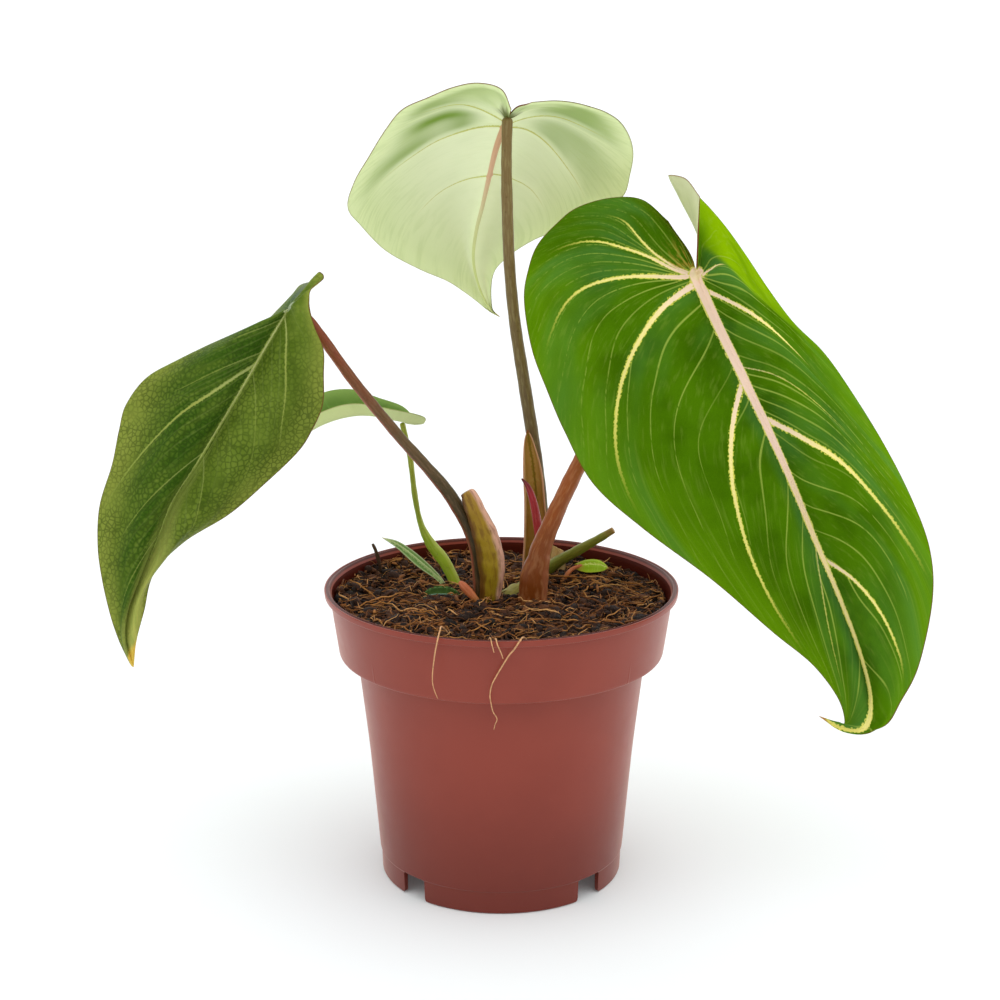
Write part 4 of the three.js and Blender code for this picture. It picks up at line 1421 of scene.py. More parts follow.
@dataclass(frozen=True)
class Strands:
    """One layer of strands strewn over the mix.

    Attributes:
        name: The piece's name.
        finish: Its material.
        count: How many strands there are.
        length: The mean length, in millimetres; the shortest has half of it.
        thick: The mean thickness, in millimetres.
        bow: How far a strand's middle strays, in millimetres.
        rise: How high above the mix the layer lies, in millimetres.
        tilt: How steeply strands may stand, in radians.
        points: Points along a strand.
        sides: Corners round it.
        seed: The seed of its draws.
    """

    name: str
    finish: Material
    count: int
    length: float
    thick: float
    bow: float
    rise: float
    tilt: float
    points: int = 8
    sides: int = 4
    seed: int = 1


class Strewer(Graph):
    """A geometry tree that strews strands over a surface."""

    def __init__(self, name: str) -> None:
        """Builds the tree, with its sizes as inputs."""
        super().__init__(bpy.data.node_groups.new(name, "GeometryNodeTree"))
        face = self.tree.interface
        face.new_socket("Ground", in_out="INPUT", socket_type="NodeSocketGeometry")
        self.sockets = {
            key: face.new_socket(key, in_out="INPUT", socket_type=f"NodeSocket{kind}").identifier
            for key, kind in (
                ("Density", "Float"), ("Length", "Float"), ("Thickness", "Float"), ("Bow", "Float"),
                ("Rise", "Float"), ("Tilt", "Float"), ("Reach", "Float"), ("Axis", "Vector"),
                ("Points", "Int"), ("Sides", "Int"), ("Seed", "Int"), ("Finish", "Material"),
            )
        }
        face.new_socket("Strands", in_out="OUTPUT", socket_type="NodeSocketGeometry")
        self.build()

    def draw(self, seed: Feed, own: int, low: Feed, high: Feed) -> Socket:
        """Draws a random number between two for each point, with the draw's own number on the seed."""
        feeds = {2: low, 3: high, "Seed": self.maths("ADD", seed, float(own))}
        return self.node("FunctionNodeRandomValue", feeds, data_type="FLOAT").outputs[1]

    def build(self) -> None:
        """Adds and links the nodes."""
        given = self.node("NodeGroupInput").outputs
        seed = given["Seed"]
        feeds = {"Mesh": given["Ground"], "Density": given["Density"], "Seed": seed}
        scatter = self.node("GeometryNodeDistributePointsOnFaces", feeds)
        line = self.node("GeometryNodeCurvePrimitiveLine", {"Start": (-0.5, 0, 0), "End": (0.5, 0, 0)})
        fine = self.node("GeometryNodeResampleCurve", {"Curve": line.outputs[0], "Count": given["Points"]})
        heading = self.draw(seed, 1, 0.0, 2 * math.pi)
        tilt = self.draw(seed, 2, self.times(given["Tilt"], -1.0), given["Tilt"])
        turn = self.vector(0.0, tilt, heading)
        stretch = self.times(given["Length"], self.draw(seed, 3, 0.5, 1.5))
        feeds = {"Points": scatter.outputs["Points"], "Instance": fine.outputs[0]}
        feeds |= {"Rotation": turn, "Scale": stretch}
        strand = self.node("GeometryNodeInstanceOnPoints", feeds)
        for name, *own in (("tone", 4, 0.0, 1.0), ("girth", 5, 0.55, 1.6)):
            feeds = {"Geometry": strand.outputs[0], "Name": name, "Value": self.draw(seed, *own)}
            kind = "GeometryNodeStoreNamedAttribute"
            strand = self.node(kind, feeds, data_type="FLOAT", domain="INSTANCE")
        real = self.node("GeometryNodeRealizeInstances", {0: strand.outputs[0]})
        spot = self.node("GeometryNodeInputPosition").outputs[0]
        feeds = {"Vector": spot, "W": self.times(self.stored("tone"), 40.0), "Scale": 160.0, "Detail": 1.0}
        bend = self.node("ShaderNodeTexNoise", feeds, noise_dimensions="4D").outputs["Color"]
        away = self.vector_maths("SUBTRACT", bend, (0.5, 0.5, 0.5))
        stray = self.scale(away, self.times(given["Bow"], 2.0))
        lift = self.vector(0.0, 0.0, given["Rise"])
        moved = self.vector_maths("ADD", self.vector_maths("ADD", spot, stray), lift)
        kept = self.keep_inside(moved, given["Axis"], given["Reach"])
        shaped = self.node("GeometryNodeSetPosition", {"Geometry": real.outputs[0], "Position": kept})
        part = self.node("GeometryNodeSplineParameter").outputs["Factor"]
        taper = self.linear(self.maths("SINE", self.times(part, math.pi)), 0.6, 0.4)
        half = self.times(given["Thickness"], self.times(self.stored("girth"), 0.5))
        thick = self.times(taper, half)
        sized = self.node("GeometryNodeSetCurveRadius", {"Curve": shaped.outputs[0], "Radius": thick})
        ring = self.node("GeometryNodeCurvePrimitiveCircle", {"Resolution": given["Sides"], "Radius": 1.0})
        feeds = {"Curve": sized.outputs[0], "Profile Curve": ring.outputs[0], "Fill Caps": True}
        skin = self.node("GeometryNodeCurveToMesh", feeds)
        if "Scale" in skin.inputs:
            self.feed(skin.inputs["Scale"], thick)
        feeds = {"Geometry": skin.outputs[0], "Material": given["Finish"]}
        finish = self.node("GeometryNodeSetMaterial", feeds)
        whole = self.node("GeometryNodeRealizeInstances", {0: finish.outputs[0]})
        self.node("NodeGroupOutput", {0: whole.outputs[0]})

    def stored(self, name: str) -> Socket:
        """Reads a number that each strand carries."""
        return self.node("GeometryNodeInputNamedAttribute", {"Name": name}, data_type="FLOAT").outputs[0]

    def keep_inside(self, place: Feed, axis: Feed, reach: Feed) -> Socket:
        """Draws places that lie outside a circle back onto it.

        Args:
            place: The places.
            axis: The circle's middle.
            reach: Its radius.

        Returns:
            The places inside the circle.
        """
        from_axis = self.vector_maths("SUBTRACT", place, axis)
        length = self.vector_maths("LENGTH", self.vector_maths("MULTIPLY", from_axis, (1, 1, 0)))
        share = self.maths("MINIMUM", 1.0, self.maths("DIVIDE", reach, length))
        x, y, z = self.parts(from_axis)
        return self.vector_maths("ADD", self.vector(self.times(x, share), self.times(y, share), z), axis)


@dataclass
class PottingMix:
    """The heaped mix with the strands on its surface.

    Attributes:
        ground: The finish of the fine peat between the strands.
        layers: The layers of strands, from the lowest.
    """

    ground: Material
    layers: Sequence[Strands]

    LEVEL = 96.0
    RADIUS = 56.1
    FRONT_RISE = 1.6
    SHARP = 80.0  # degrees
    GROUND_DEPTH = 3.0  # how far below the level a face may lie and still carry strands
    LEFT_RISE = 1.4  # towards the wall
    RINGS = 90
    SECTORS = 200
    SIDE = ((40.8, 10.3), (43.9, 45), (47.8, 80.9), (53.8, 81.4), (55.9, 95.0))
    REACH = 55.0

    def height(self, x: Array, y: Array) -> Array:
        """Gives the height of the heap, as the part's source does, in millimetres."""
        waves = 0.8 * np.sin(0.31 * x + 0.8) * np.cos(0.27 * y) + 0.6 * np.sin(0.41 * x - 0.33 * y)
        heaped = self.LEFT_RISE * smooth(np.hypot(x, y), 42, 55) * smooth(-x, 10, 50)
        return self.LEVEL + waves + self.FRONT_RISE * np.clip(-y / 60, 0, 1) + heaped

    def skin(self) -> Skin:
        """Builds the closed body of the mix.

        Returns:
            Its surface, the top's faces last.
        """
        angle = np.linspace(0, 2 * np.pi, self.SECTORS, endpoint=False)[:, None]
        radius = np.linspace(self.RADIUS, 0, self.RINGS + 1)[None]
        x, y = radius * np.cos(angle), radius * np.sin(angle)
        bent_x, bent_y = 1.1 * x + 0.9 * np.sin(1.7 * y), 1.2 * y + 1.1 * np.sin(0.9 * x)
        crumble = 0.8 * np.sin(bent_x) * np.sin(bent_y) - 0.6
        z = self.height(x, y) + crumble * np.minimum(1, (self.RADIUS - radius) / 3)
        r = np.array([0, *[s[0] for s in self.SIDE]])[None]
        h = np.array([self.SIDE[0][1], *[s[1] for s in self.SIDE]])[None]
        wall = np.stack([r * np.cos(angle), r * np.sin(angle), h + 0 * angle], -1)
        return turned(np.concatenate([wall, np.stack([x, y, z], -1)], axis=1), self.SHARP)

    def strew(self, shop: Workshop, tree: Strewer, ground: Object, layer: Strands) -> None:
        """Makes one layer of strands.

        Args:
            shop: Where the piece is finished.
            tree: The strewing tree.
            ground: The surface that the strands lie on.
            layer: The layer.
        """
        scatter = ground.modifiers.new("strands", "NODES")
        scatter.node_group = tree.tree
        area = math.pi * (self.REACH * MM) ** 2
        axis = (shop.placement.axis_x, shop.placement.axis_y, 0.0)
        sizes = {
            "Density": layer.count / area, "Length": layer.length * MM, "Thickness": layer.thick * MM,
            "Bow": layer.bow * MM, "Rise": layer.rise * MM, "Tilt": layer.tilt, "Reach": self.REACH * MM,
            "Axis": axis, "Points": layer.points, "Sides": layer.sides, "Seed": layer.seed,
            "Finish": layer.finish,
        }
        for key, size in sizes.items():
            scatter[tree.sockets[key]] = size
        mesh = evaluated(ground)
        ground.modifiers.remove(scatter)
        mesh.name = layer.name
        shop.install(placed(layer.name, mesh), "potting_mix")

    def build(self, shop: Workshop) -> None:
        """Makes the mix and its strands."""
        skin = self.skin()
        shop.install(shop.make("fine_soil", skin, [self.ground]), "potting_mix", ["soil"])
        height = skin.points[:, 2]
        lowest = self.LEVEL - self.GROUND_DEPTH
        upper = [face for face in skin.faces if min(height[c] for c in face) > lowest]
        ground = shop.make("strewn_ground", Skin(skin.points, upper), [self.ground])
        tree = Strewer("strewn_strands")
        for layer in self.layers:
            self.strew(shop, tree, ground, layer)
        bpy.data.objects.remove(ground)


@dataclass(frozen=True)
class Peat:
    """Dark, moist peat between the strands."""

    name: str = "dark_peat"
    tones: Stops = ((0.3, "#080402"), (0.55, "#22120a"), (0.75, "#4a2c18"))

    def material(self) -> Material:
        """Builds the finish."""
        paint = Paint(self.name, 0.85, Specular_IOR_Level=0.2)
        paint.skin = paint.ramp(paint.noise(1.6, 5), self.tones)
        return paint.wear(paint.noise(0.8, 5), 0.6)


# ------------------------------------------------------------------ studio


@dataclass(frozen=True)
class Studio:
    """The pale floor, the soft light and the camera of the photograph."""

    eye: tuple[float, float, float] = (-0.45, -640.0, 299.17)  # millimetres about the pot's axis
    pitch: float = 0.25662  # radians down
    lens: float = 70.945
    sensor: float = 36.0  # millimetres wide
    clip: tuple[float, float] = (0.01, 100.0)  # metres
    sun_power: float = 0.85
    sun_spread: float = 1.5  # radians
    sun_turn: tuple[float, float, float] = (0.5, 0.2, 0.0)
    white_wall: float = 1.16  # strengths of the light from the walls
    dark_wall: float = 0.3
    floor_tone: str = "#eff4f5"
    floor_glow: float = 0.05
    floor_half: float = 30.0  # metres
    floor_level: float = -0.0002  # metres, just below the feet

    def camera(self, placement: Placement) -> None:
        """Sets the camera up.

        Args:
            placement: Where the pot's axis is.
        """
        data = bpy.data.cameras.new("camera")
        data.lens, data.sensor_width = self.lens, self.sensor
        data.clip_start, data.clip_end = self.clip
        camera = placed("camera", data)
        camera.location = placement.metres(self.eye)
        camera.rotation_euler = (math.pi / 2 - self.pitch, 0, 0)
        bpy.context.scene.camera = camera

    def floor(self) -> None:
        """Lays the floor."""
        glow = {"Emission_Color": "#ffffff", "Emission_Strength": self.floor_glow}
        paint = Paint("pale_floor", 0.9, self.floor_tone, Specular_IOR_Level=0.0, **glow)
        mesh = bpy.data.meshes.new("floor")
        half, low = self.floor_half, self.floor_level
        corners = [(-half, -half, low), (half, -half, low), (half, half, low), (-half, half, low)]
        mesh.from_pydata(corners, [], [(0, 1, 2, 3)])
        mesh.materials.append(paint.wear())
        placed("floor", mesh)

    def sun(self) -> None:
        """Hangs a broad, soft light high in front of the plant."""
        data = bpy.data.lights.new("broad_light", "SUN")
        data.energy, data.angle = self.sun_power, self.sun_spread
        placed("broad_light", data).rotation_euler = self.sun_turn

    def room(self, scene: bpy.types.Scene) -> None:
        """Surrounds the plant with white walls whose light is weaker behind the camera.

        Args:
            scene: The scene that the room belongs to.
        """
        scene.world = bpy.data.worlds.new("white_room")
        scene.world.use_nodes = True
        graph = Graph(scene.world.node_tree)
        sky = graph.tree.nodes["Background"]
        ahead = graph.parts(graph.node("ShaderNodeTexCoord").outputs["Generated"])[1]
        light = graph.map_range(ahead, -0.9, -0.3, self.dark_wall, self.white_wall)
        seen = graph.node("ShaderNodeLightPath").outputs["Is Camera Ray"]
        graph.feed(sky.inputs["Strength"], graph.linear(seen, self.white_wall, light))
        sky.inputs["Color"].default_value = (1, 1, 1, 1)

    def build(self, placement: Placement) -> None:
        """Sets up the whole studio.

        Args:
            placement: Where the pot's axis is.
        """
        scene = bpy.context.scene
        self.camera(placement)
        self.floor()
        self.sun()
        self.room(scene)
        scene.view_settings.view_transform = "Standard"
        scene.view_settings.look = "None"


# ------------------------------------------------------------------ forms
# Rows of x, y, z, half width and half depth, the foot last, and the forms of the blades.

RIGHT_PETIOLE: Table = (
    (65, 3, 207.5, 2.3), (61.5, 9, 200, 2.4), (50, 11, 183.5, 2.5), (36.5, 6, 162.5, 2.6),
    (26.5, 2, 144, 2.7), (18.5, -1, 127.5, 2.9), (13.7, -2.5, 115.5, 3.3, 3), (12.7, -2.8, 111, 3.8, 3.3),
    (11.3, -3, 105, 4.6, 3.8), (10.6, -3, 91, 4.8, 4),
)
MID_PETIOLE: Table = (
    (2, 19.5, 257, 1.8), (1.7, 19.8, 243, 1.75), (1.9, 20, 229.5, 1.9), (2.7, 21, 208, 1.95),
    (4.5, 22, 188.5, 2), (7.7, 23, 167.5, 2.15), (10.5, 23.5, 150, 2.2), (12.8, 24, 135.5, 2),
    (14.3, 24, 121.5, 2), (14.8, 24, 108.5, 2), (15, 24, 90, 2.1),
)
LEFT_PETIOLE: Table = (
    (-69.5, -3, 197.5, 1.6), (-62.9, 3, 191, 1.7), (-49.2, 3, 171.5, 1.8), (-34.4, 2, 153, 1.85),
    (-25.2, 1.5, 142.5, 1.95), (-17.5, 1, 133, 2.25), (-11.6, 0.5, 122.5, 2.15), (-8.7, 0, 114, 2.1),
    (-7.5, 0, 103.5, 2.2), (-6.5, 0, 90, 2.4),
)
YOUNG_PETIOLE: Table = (
    (-34.2, 26.9, 151.2, 0.95), (-33, 26, 146, 0.95), (-31.5, 25, 139, 0.95), (-30, 23, 126.5, 1),
    (-28, 21.5, 117, 1.05), (-24.5, 20.2, 110, 1.9, 1.5), (-19.5, 19, 103.5, 2.1, 1.6),
    (-14, 18, 92, 1.7, 1.5),
)
CUT_PETIOLE: Table = (
    (39.4, 27, 113.2, 1.1), (33, 28, 109, 1.5), (25.5, 30, 104, 1.8), (19.5, 31, 100, 2.1),
    (13, 32, 94, 2.2),
)
LEFT_SHEATH: Table = (
    (-11.6, -1.5, 134.3, 2.2, 1.5), (-10.4, -1.7, 132.3, 2.9, 2.1), (-7.2, -1.8, 124.8, 3.5, 2.7),
    (-5.1, -1.8, 119.2, 4.1, 3.1), (-3.7, -1.8, 112.9, 4.4, 3.4), (-3, -1.8, 106.5, 4.2, 3.3),
    (-3.4, -1.8, 100.2, 3.5, 3), (-4.4, -1.8, 92, 2.6, 2.4),
)
RED_SHOOT: Table = (
    (7, 6, 137, 0.3), (9, 6, 134.3, 0.9), (10.7, 6.3, 129.5, 1.25), (12, 6.8, 123, 1.45),
    (13, 6.8, 115.5, 1.6), (13, 6.6, 106, 1.7), (12, 6.2, 91, 1.7),
)
BUD_SCALE: Table = (
    (-14, -2, 102.9, 0.7, 0.5), (-12.7, -3.4, 101.9, 1.4, 0.8), (-10.4, -4.9, 99.9, 1.4, 0.9),
    (-8.2, -6, 97.2, 1.2, 0.9), (-6.6, -6.4, 92, 1, 0.9),
)
DRY_TWIG: Table = (
    (-45.4, 30, 107.1, 0.4), (-44.2, 30, 104.1, 0.6), (-43, 30, 99, 0.7), (-42.4, 30, 92, 0.7),
)
RHIZOME: Table = (
    (16.5, 37, 89.5, 4), (12.5, 24, 92, 5.4), (7.3, 10, 94.2, 5.2), (0, 1, 91.5, 5.2),
    (-5, -5, 88.5, 3.5),
)
SEEDLING_STEM: Table = (
    (28, 25.5, 100.6, 0.6), (25, 23.5, 100, 0.7), (22.5, 20.5, 98, 0.75), (20, 18, 92, 0.8),
)
RIGHT_BLADE = LeafTable(
    midrib=(
        (64, 4, 206.5), (71.5, -1, 190.5), (79.5, -6, 174.5), (87, -10.5, 159), (94.5, -15.5, 142.5),
        (101.5, -20.5, 125.5), (109, -25.5, 108.5), (116, -31, 91), (120, -36.5, 76), (118, -43, 67),
        (111.5, -40, 65), (104, -34, 67),
    ),
    ribs=(
        (0, 55, 11, 223.3, 63.5, -5, 233), (0, 46.5, 15, 229.9, 59, -3, 238.5),
        (0, 36, 16.5, 230.3, 54, 3, 239), (0, 25, 17, 227, 60, 12, 235.5),
        (0, 18, 16.5, 221.5, 69.5, 28, 226.5), (0, 12, 14.5, 215, 77.5, 38, 217.5),
        (0, 9, 12, 207.5, 85, 42, 207.5), (0, 7.5, 9, 197.5, 93, 42, 196),
        (0, 10, 4.5, 182, 101.5, 38, 185), (0.3, 15, -0.5, 169, 111, 30, 176),
        (0.7, 21, -4.5, 155.5, 118.5, 18, 165.5), (1.3, 30.5, -9.5, 139, 127, -2, 151),
        (2.2, 47, -14.5, 125, 134, -18, 136), (3.5, 69.5, -19.5, 109, 138.5, -28, 122),
        (4.8, 89, -25, 93, 138.5, -36, 107.5), (6.1, 102, -29, 83, 134, -42, 87.5),
        (7.4, 110, -33, 73, 128.5, -44, 76), (8.7, 112, -36.5, 66, 123.5, -43, 67),
        (9.9, 109.5, -38, 66.5, 112, -39, 63.5), (11, 104, -34, 67, 104, -34, 67),
    ),
    crown_left=(
        (1, -1, 0.5), (0, -5, 1.5), (0, -6, 1.5), (0, -6, 1.5), (0, -5, 1.5), (0, -3, 1), (0, 0, 0),
    ),
    crown_right=(
        (-0.3, -3, 0), (3, 0, 0), (4, -6, -1), (3, -18, 1), (2, -20, 2), (2, -16, 2), (1, -9, 2),
        (0, -6, 1.5), (0, -5, 1.5), (0, -3, 0), (0, 0, 0),
    ),
)
LEFT_BLADE = LeafTable(
    midrib=(
        (-69, -2, 197), (-76.5, -6, 185), (-84, -9, 172.5), (-92, -12, 159.5), (-99.5, -15, 147.5),
        (-107.5, -17, 135.5), (-112.5, -19, 123.5), (-118, -21, 111), (-122.5, -23, 100),
        (-123.5, -25, 91), (-121, -27, 81.5),
    ),
    ribs=(
        (0, -63, 13, 203, -61.8, 8, 205.4), (0, -67.5, 18, 201, -59.8, 7, 207),
        (0, -70, 20, 198, -58.4, 5, 205.3), (0, -74.5, 18, 193.5, -62, 0, 202.5),
        (0, -81, 10, 188, -62.5, -3, 199), (0, -89.5, 4, 185.5, -62, -5, 195.5),
        (0.2, -102.5, 0, 180.5, -60.5, -6, 190.5), (0.5, -116, -2, 174, -58, -6, 183.5),
        (1, -123.5, -4, 165, -58, -7, 175.5), (1.6, -126, -6, 156.5, -58.5, -8, 165.5),
        (2.3, -128, -10, 146, -62.5, -9, 156.5), (3.2, -132, -14, 133, -67, -10, 150),
        (4.2, -132.5, -18, 120.5, -77, -11, 140.5), (5.3, -131, -21, 109.5, -89.5, -13, 130),
        (6.4, -128.5, -23, 98, -104.5, -15, 121), (7.6, -126, -24, 90, -114.5, -18, 111),
        (8.7, -123.5, -25, 84.5, -117.5, -22, 99.5), (9.5, -122, -26, 82, -120, -25, 90),
        (10, -121, -27, 81.5, -121, -27, 81.5),
    ),
    crown_left=((0, -1, 0), (0, -3, -0.5), (1, -6, 1), (1, -7, 3), (0, -6, 2), (0, -4, 1), (0, 0, 0)),
    crown_right=((0, 0, 0), (0, -3, 0), (1, -5, 0), (1, -6, 0), (1, -6, 0), (1, -3, 0), (0, 0, 0)),
)
MID_BLADE = LeafTable(
    midrib=(
        (2, 20, 256), (-1.5, 28.5, 246.5), (-4, 38.5, 236), (-6.5, 49, 224.5), (-9, 58.5, 213.5),
        (-10, 68.5, 202.5), (-8, 79.5, 191), (-4, 87.5, 181.5), (-0.5, 91.5, 178),
    ),
    ribs=(
        (0, 10, 15, 261.5, 3.2, 14, 259.3), (0, 17, 14.5, 262, 0, 10, 265.9),
        (0, 23, 15, 261.5, -7.5, 9.5, 267.9), (0, 29, 16.5, 260, -15.5, 11, 266.5),
        (0, 34.5, 18, 258, -24, 14, 263), (0, 39.5, 21.5, 254.5, -32.5, 17, 259),
        (0, 43, 26.5, 249, -38.5, 24, 252), (0.2, 44.5, 32, 243, -45, 33, 242),
        (0.5, 44, 38.5, 236, -50.5, 41, 233), (0.9, 42.5, 45, 228.5, -53.5, 49.5, 223.5),
        (1.4, 37, 50, 223, -49.5, 56, 216.5), (2.1, 29.5, 55, 218, -41.5, 65.5, 206.5),
        (3, 20.5, 57.5, 214.5, -30, 72, 199), (4, 12, 61, 211, -20, 76.5, 194),
        (5, 2.5, 67.5, 204, -14, 80.5, 189.5), (5.9, -3, 75, 196, -9, 85, 185),
        (7, -3.4, 86.5, 182.5, -4.8, 88, 181), (8, -0.5, 91.5, 178, -0.5, 91.5, 178),
    ),
    crown_left=((0, -1.5, 1.5), (0, 4, 1.6), (0, 5, 5), (0, 4, 4), (0, 2, 2), (0, 0, 0)),
    crown_right=((0.3, -0.5, 0), (0, 4, 4), (0, 5, 5), (0, 4, 4), (0, 2, 2), (0, 0, 0)),
)
YOUNG_BLADE = LeafTable(
    midrib=(
        (-34.5, 27, 153), (-45, 26.5, 155.5), (-53.5, 24.5, 155), (-62, 23.5, 152), (-70, 23, 147),
        (-77, 22, 140),
    ),
    ribs=(
        (0, -33, 30.5, 152.5, -30, 26, 151.3), (0, -31.5, 32, 153.5, -26.7, 24, 152.3),
        (0, -35, 33.5, 156.5, -27, 22.5, 155), (0.4, -43, 35, 159, -37, 21, 157.8),
        (1.3, -52, 37, 161.5, -50, 20.5, 160), (2.3, -61.5, 35, 161, -60, 19, 158),
        (3.3, -69, 31, 157, -68, 19, 153), (4.2, -74, 27, 150, -73, 20, 147),
        (5, -77, 22, 140, -77, 22, 140),
    ),
    crown_left=((0, 0.5, -0.5), (0, 1.5, -1.5), (0, 0, 0)),
    crown_right=((0, 0, -0.5), (0, -1, -1.5), (0, 0, 0)),
)
MID_SHEATH = LeafTable(
    midrib=(
        (10.5, 15, 91), (11.5, 17, 104), (12, 18.5, 116), (12, 19.5, 128), (11, 20, 138),
        (9.5, 20.5, 147), (9, 20, 151),
    ),
    ribs=(
        (0, 15, 11.5, 91, 6.8, 9, 91), (1, 16, 13.5, 104, 7.2, 10, 103.5),
        (2, 16.3, 15, 116.5, 7.8, 12, 114), (3, 15.2, 16, 124, 7.9, 14, 127),
        (4, 14, 17, 136.5, 7.5, 16, 137.5), (5, 11, 19, 147, 7.8, 18.5, 146.5),
        (6, 9, 20, 151, 9, 20, 151),
    ),
    crown_left=((1, 1.2, 0), (1, 1, 0), (0, 0, 0)),
    crown_right=((-1.5, 1, 0), (-1.2, 0.8, 0), (0, 0, 0)),
)
SEEDLING_LEAF = LeafTable(
    midrib=((27, 25, 100.4), (30.5, 27, 100.6), (34.5, 29, 99.8), (38, 31, 98)),
    ribs=(
        (0, 26.2, 24.4, 99.6, 25.8, 26, 100.9), (0.8, 29.5, 23.5, 98.8, 29.5, 29, 101.6),
        (1.8, 33, 24.8, 98.4, 34, 31, 101.2), (2.5, 35.8, 27.5, 98, 36.8, 32, 99.4),
        (3, 38, 31, 98, 38, 31, 98),
    ),
    crown_left=((0, 0, 0.4), (0, 0, 0.2)),
    crown_right=((0, 0, 0.4), (0, 0, 0.2)),
)
POINTED_LEAF = LeafTable(
    midrib=((-18, 14, 92), (-21, 16, 98), (-28.5, 20, 103.8), (-36, 24, 108.6), (-42, 25.5, 111)),
    ribs=(
        (0, -18.8, 13.4, 91.8, -17.2, 14.6, 92.2), (1, -21.5, 15.2, 97.5, -20.6, 16.8, 98.6),
        (2, -29.4, 18.4, 102.6, -27.9, 21.4, 104.8), (3, -36.6, 22.9, 107.9, -35.6, 25, 109.4),
        (4, -42, 25.5, 111, -42, 25.5, 111),
    ),
    crown_left=((0, 0, -0.2), (0, 0, -0.4), (0, 0, 0)),
    crown_right=((0, 0, -0.2), (0, 0, -0.4), (0, 0, 0)),
)
CURLED_LEAF = LeafTable(
    midrib=((-29, 5, 93.5), (-25, 6, 97.3), (-20, 6, 98.2), (-15.5, 5, 97.2), (-12.5, 4, 93)),
    ribs=(
        (0, -28.8, 4.2, 93.3, -29, 5.8, 93.5), (1, -25, 2.8, 96.6, -25, 8.2, 96.6),
        (2, -20, 2, 97.4, -20, 8.6, 97.4), (3, -16, 2.6, 96.6, -15.5, 7.2, 96.4),
        (4, -12.6, 3.2, 92.8, -12.4, 4.8, 93),
    ),
    crown_left=((0, 0, 0.3), (0, 0, 0.8), (0, 0, 0.3)),
    crown_right=((0, 0, 0.3), (0, 0, 0.8), (0, 0, 0.3)),
)
OLD_SCALE = LeafTable(
    midrib=((19.5, 35.5, 92), (19.8, 36, 98), (20, 36.3, 104)),
    ribs=(
        (0, 22.5, 35, 92, 16.8, 35, 92), (1, 23, 35.5, 98, 17, 35.5, 98.5),
        (2, 22.2, 36, 103, 18.2, 36, 105.2),
    ),
    crown_left=((0, 0.3, 0), (0, 0.3, 0)),
    crown_right=((0, 0.3, 0), (0, 0.3, 0)),
)


# ------------------------------------------------------------------ veins
# The rows of ribs that each side vein crosses on its way from the midrib to the margin.

RIGHT_VEINS = {
    Half.LEFT: (
        Vein((5.2, 3.95, 2.9, 2.5, 3.4), 0.55, 0.85, 0.85), Vein((6.2, 4.5, 4.15, 4.4, 6), 0.75, 0.92),
        Vein((7.6, 6.7, 6.65, 7.25, 8.6), 0.95, 0.95), Vein((8.5, 8.75, 9.5, 10.6, 12.1), 1.3, 0.98),
        Vein((11.8, 12.2, 12.76, 13.6, 15), 1.1, 0.98),
        Vein((14.2, 14.6, 15.1, 15.8, 16.8), 0.2, 0.8, 0.4),
    ),
    Half.RIGHT: (
        Vein((5.2, 4.5, 6.6, 8, 9), 1.1, 0.36), Vein((8.9, 9.15, 9.9, 10.6, 11.2), 1.0, 0.62),
        Vein((11.6, 11.24, 11.33, 11.7, 12.4), 0.15, 0.7, 0.5),
        Vein((12.5, 12.43, 12.42, 12.9, 13.8), 1.2, 0.98),
        Vein((14.5, 14.52, 14.72, 15.14, 15.9), 0.75, 0.9, 0.9),
    ),
}
MID_VEINS = {
    Half.RIGHT: (
        Vein((6.6, 6.2, 5.7, 5.5, 5.6), 0.45), Vein((7.3, 8.1, 8.25, 8.55, 9.6), 0.5),
        Vein((10.9, 10.82, 10.74, 10.9, 11.4), 0.4, 0.7),
    ),
    Half.LEFT: (
        Vein((7, 7, 6.7, 6.6, 6.9), 0.45), Vein((7.4, 8.4, 9.2, 9.9, 10.8), 0.5),
        Vein((10.8, 11.05, 11.2, 11.7, 12.6), 0.4, 0.7),
    ),
}
LEFT_VEINS = {
    Half.LEFT: (
        Vein((4, 4.2, 4.5, 4.8, 5.2), 0.2, 0.7, 0.3), Vein((6.4, 6.6, 6.8, 7.0, 7.2), 0.2, 0.7, 0.25),
        Vein((8.3, 8.5, 8.6, 8.5, 8.6), 0.2, 0.7, 0.3),
        Vein((8.8, 9.45, 9.75, 10.35, 11.4), 0.6, 1.0, 0.8),
        Vein((11.5, 11.8, 12.1, 12.5, 13), 0.2, 0.8, 0.4),
        Vein((13.5, 13.8, 14.1, 14.5, 15), 0.2, 0.8, 0.3),
    ),
    Half.RIGHT: (
        Vein((6, 7.6, 9.4, 11, 12.5), 0.4, 0.8, 0.6), Vein((9, 10, 11.2, 12.4, 13.6), 0.2, 0.8, 0.2),
        Vein((11.5, 12.3, 13.2, 14.1, 15), 0.2, 0.8, 0.3),
        Vein((13.5, 14.1, 14.7, 15.3, 16), 0.2, 0.8, 0.2),
    ),
}


# ------------------------------------------------------------------ plant


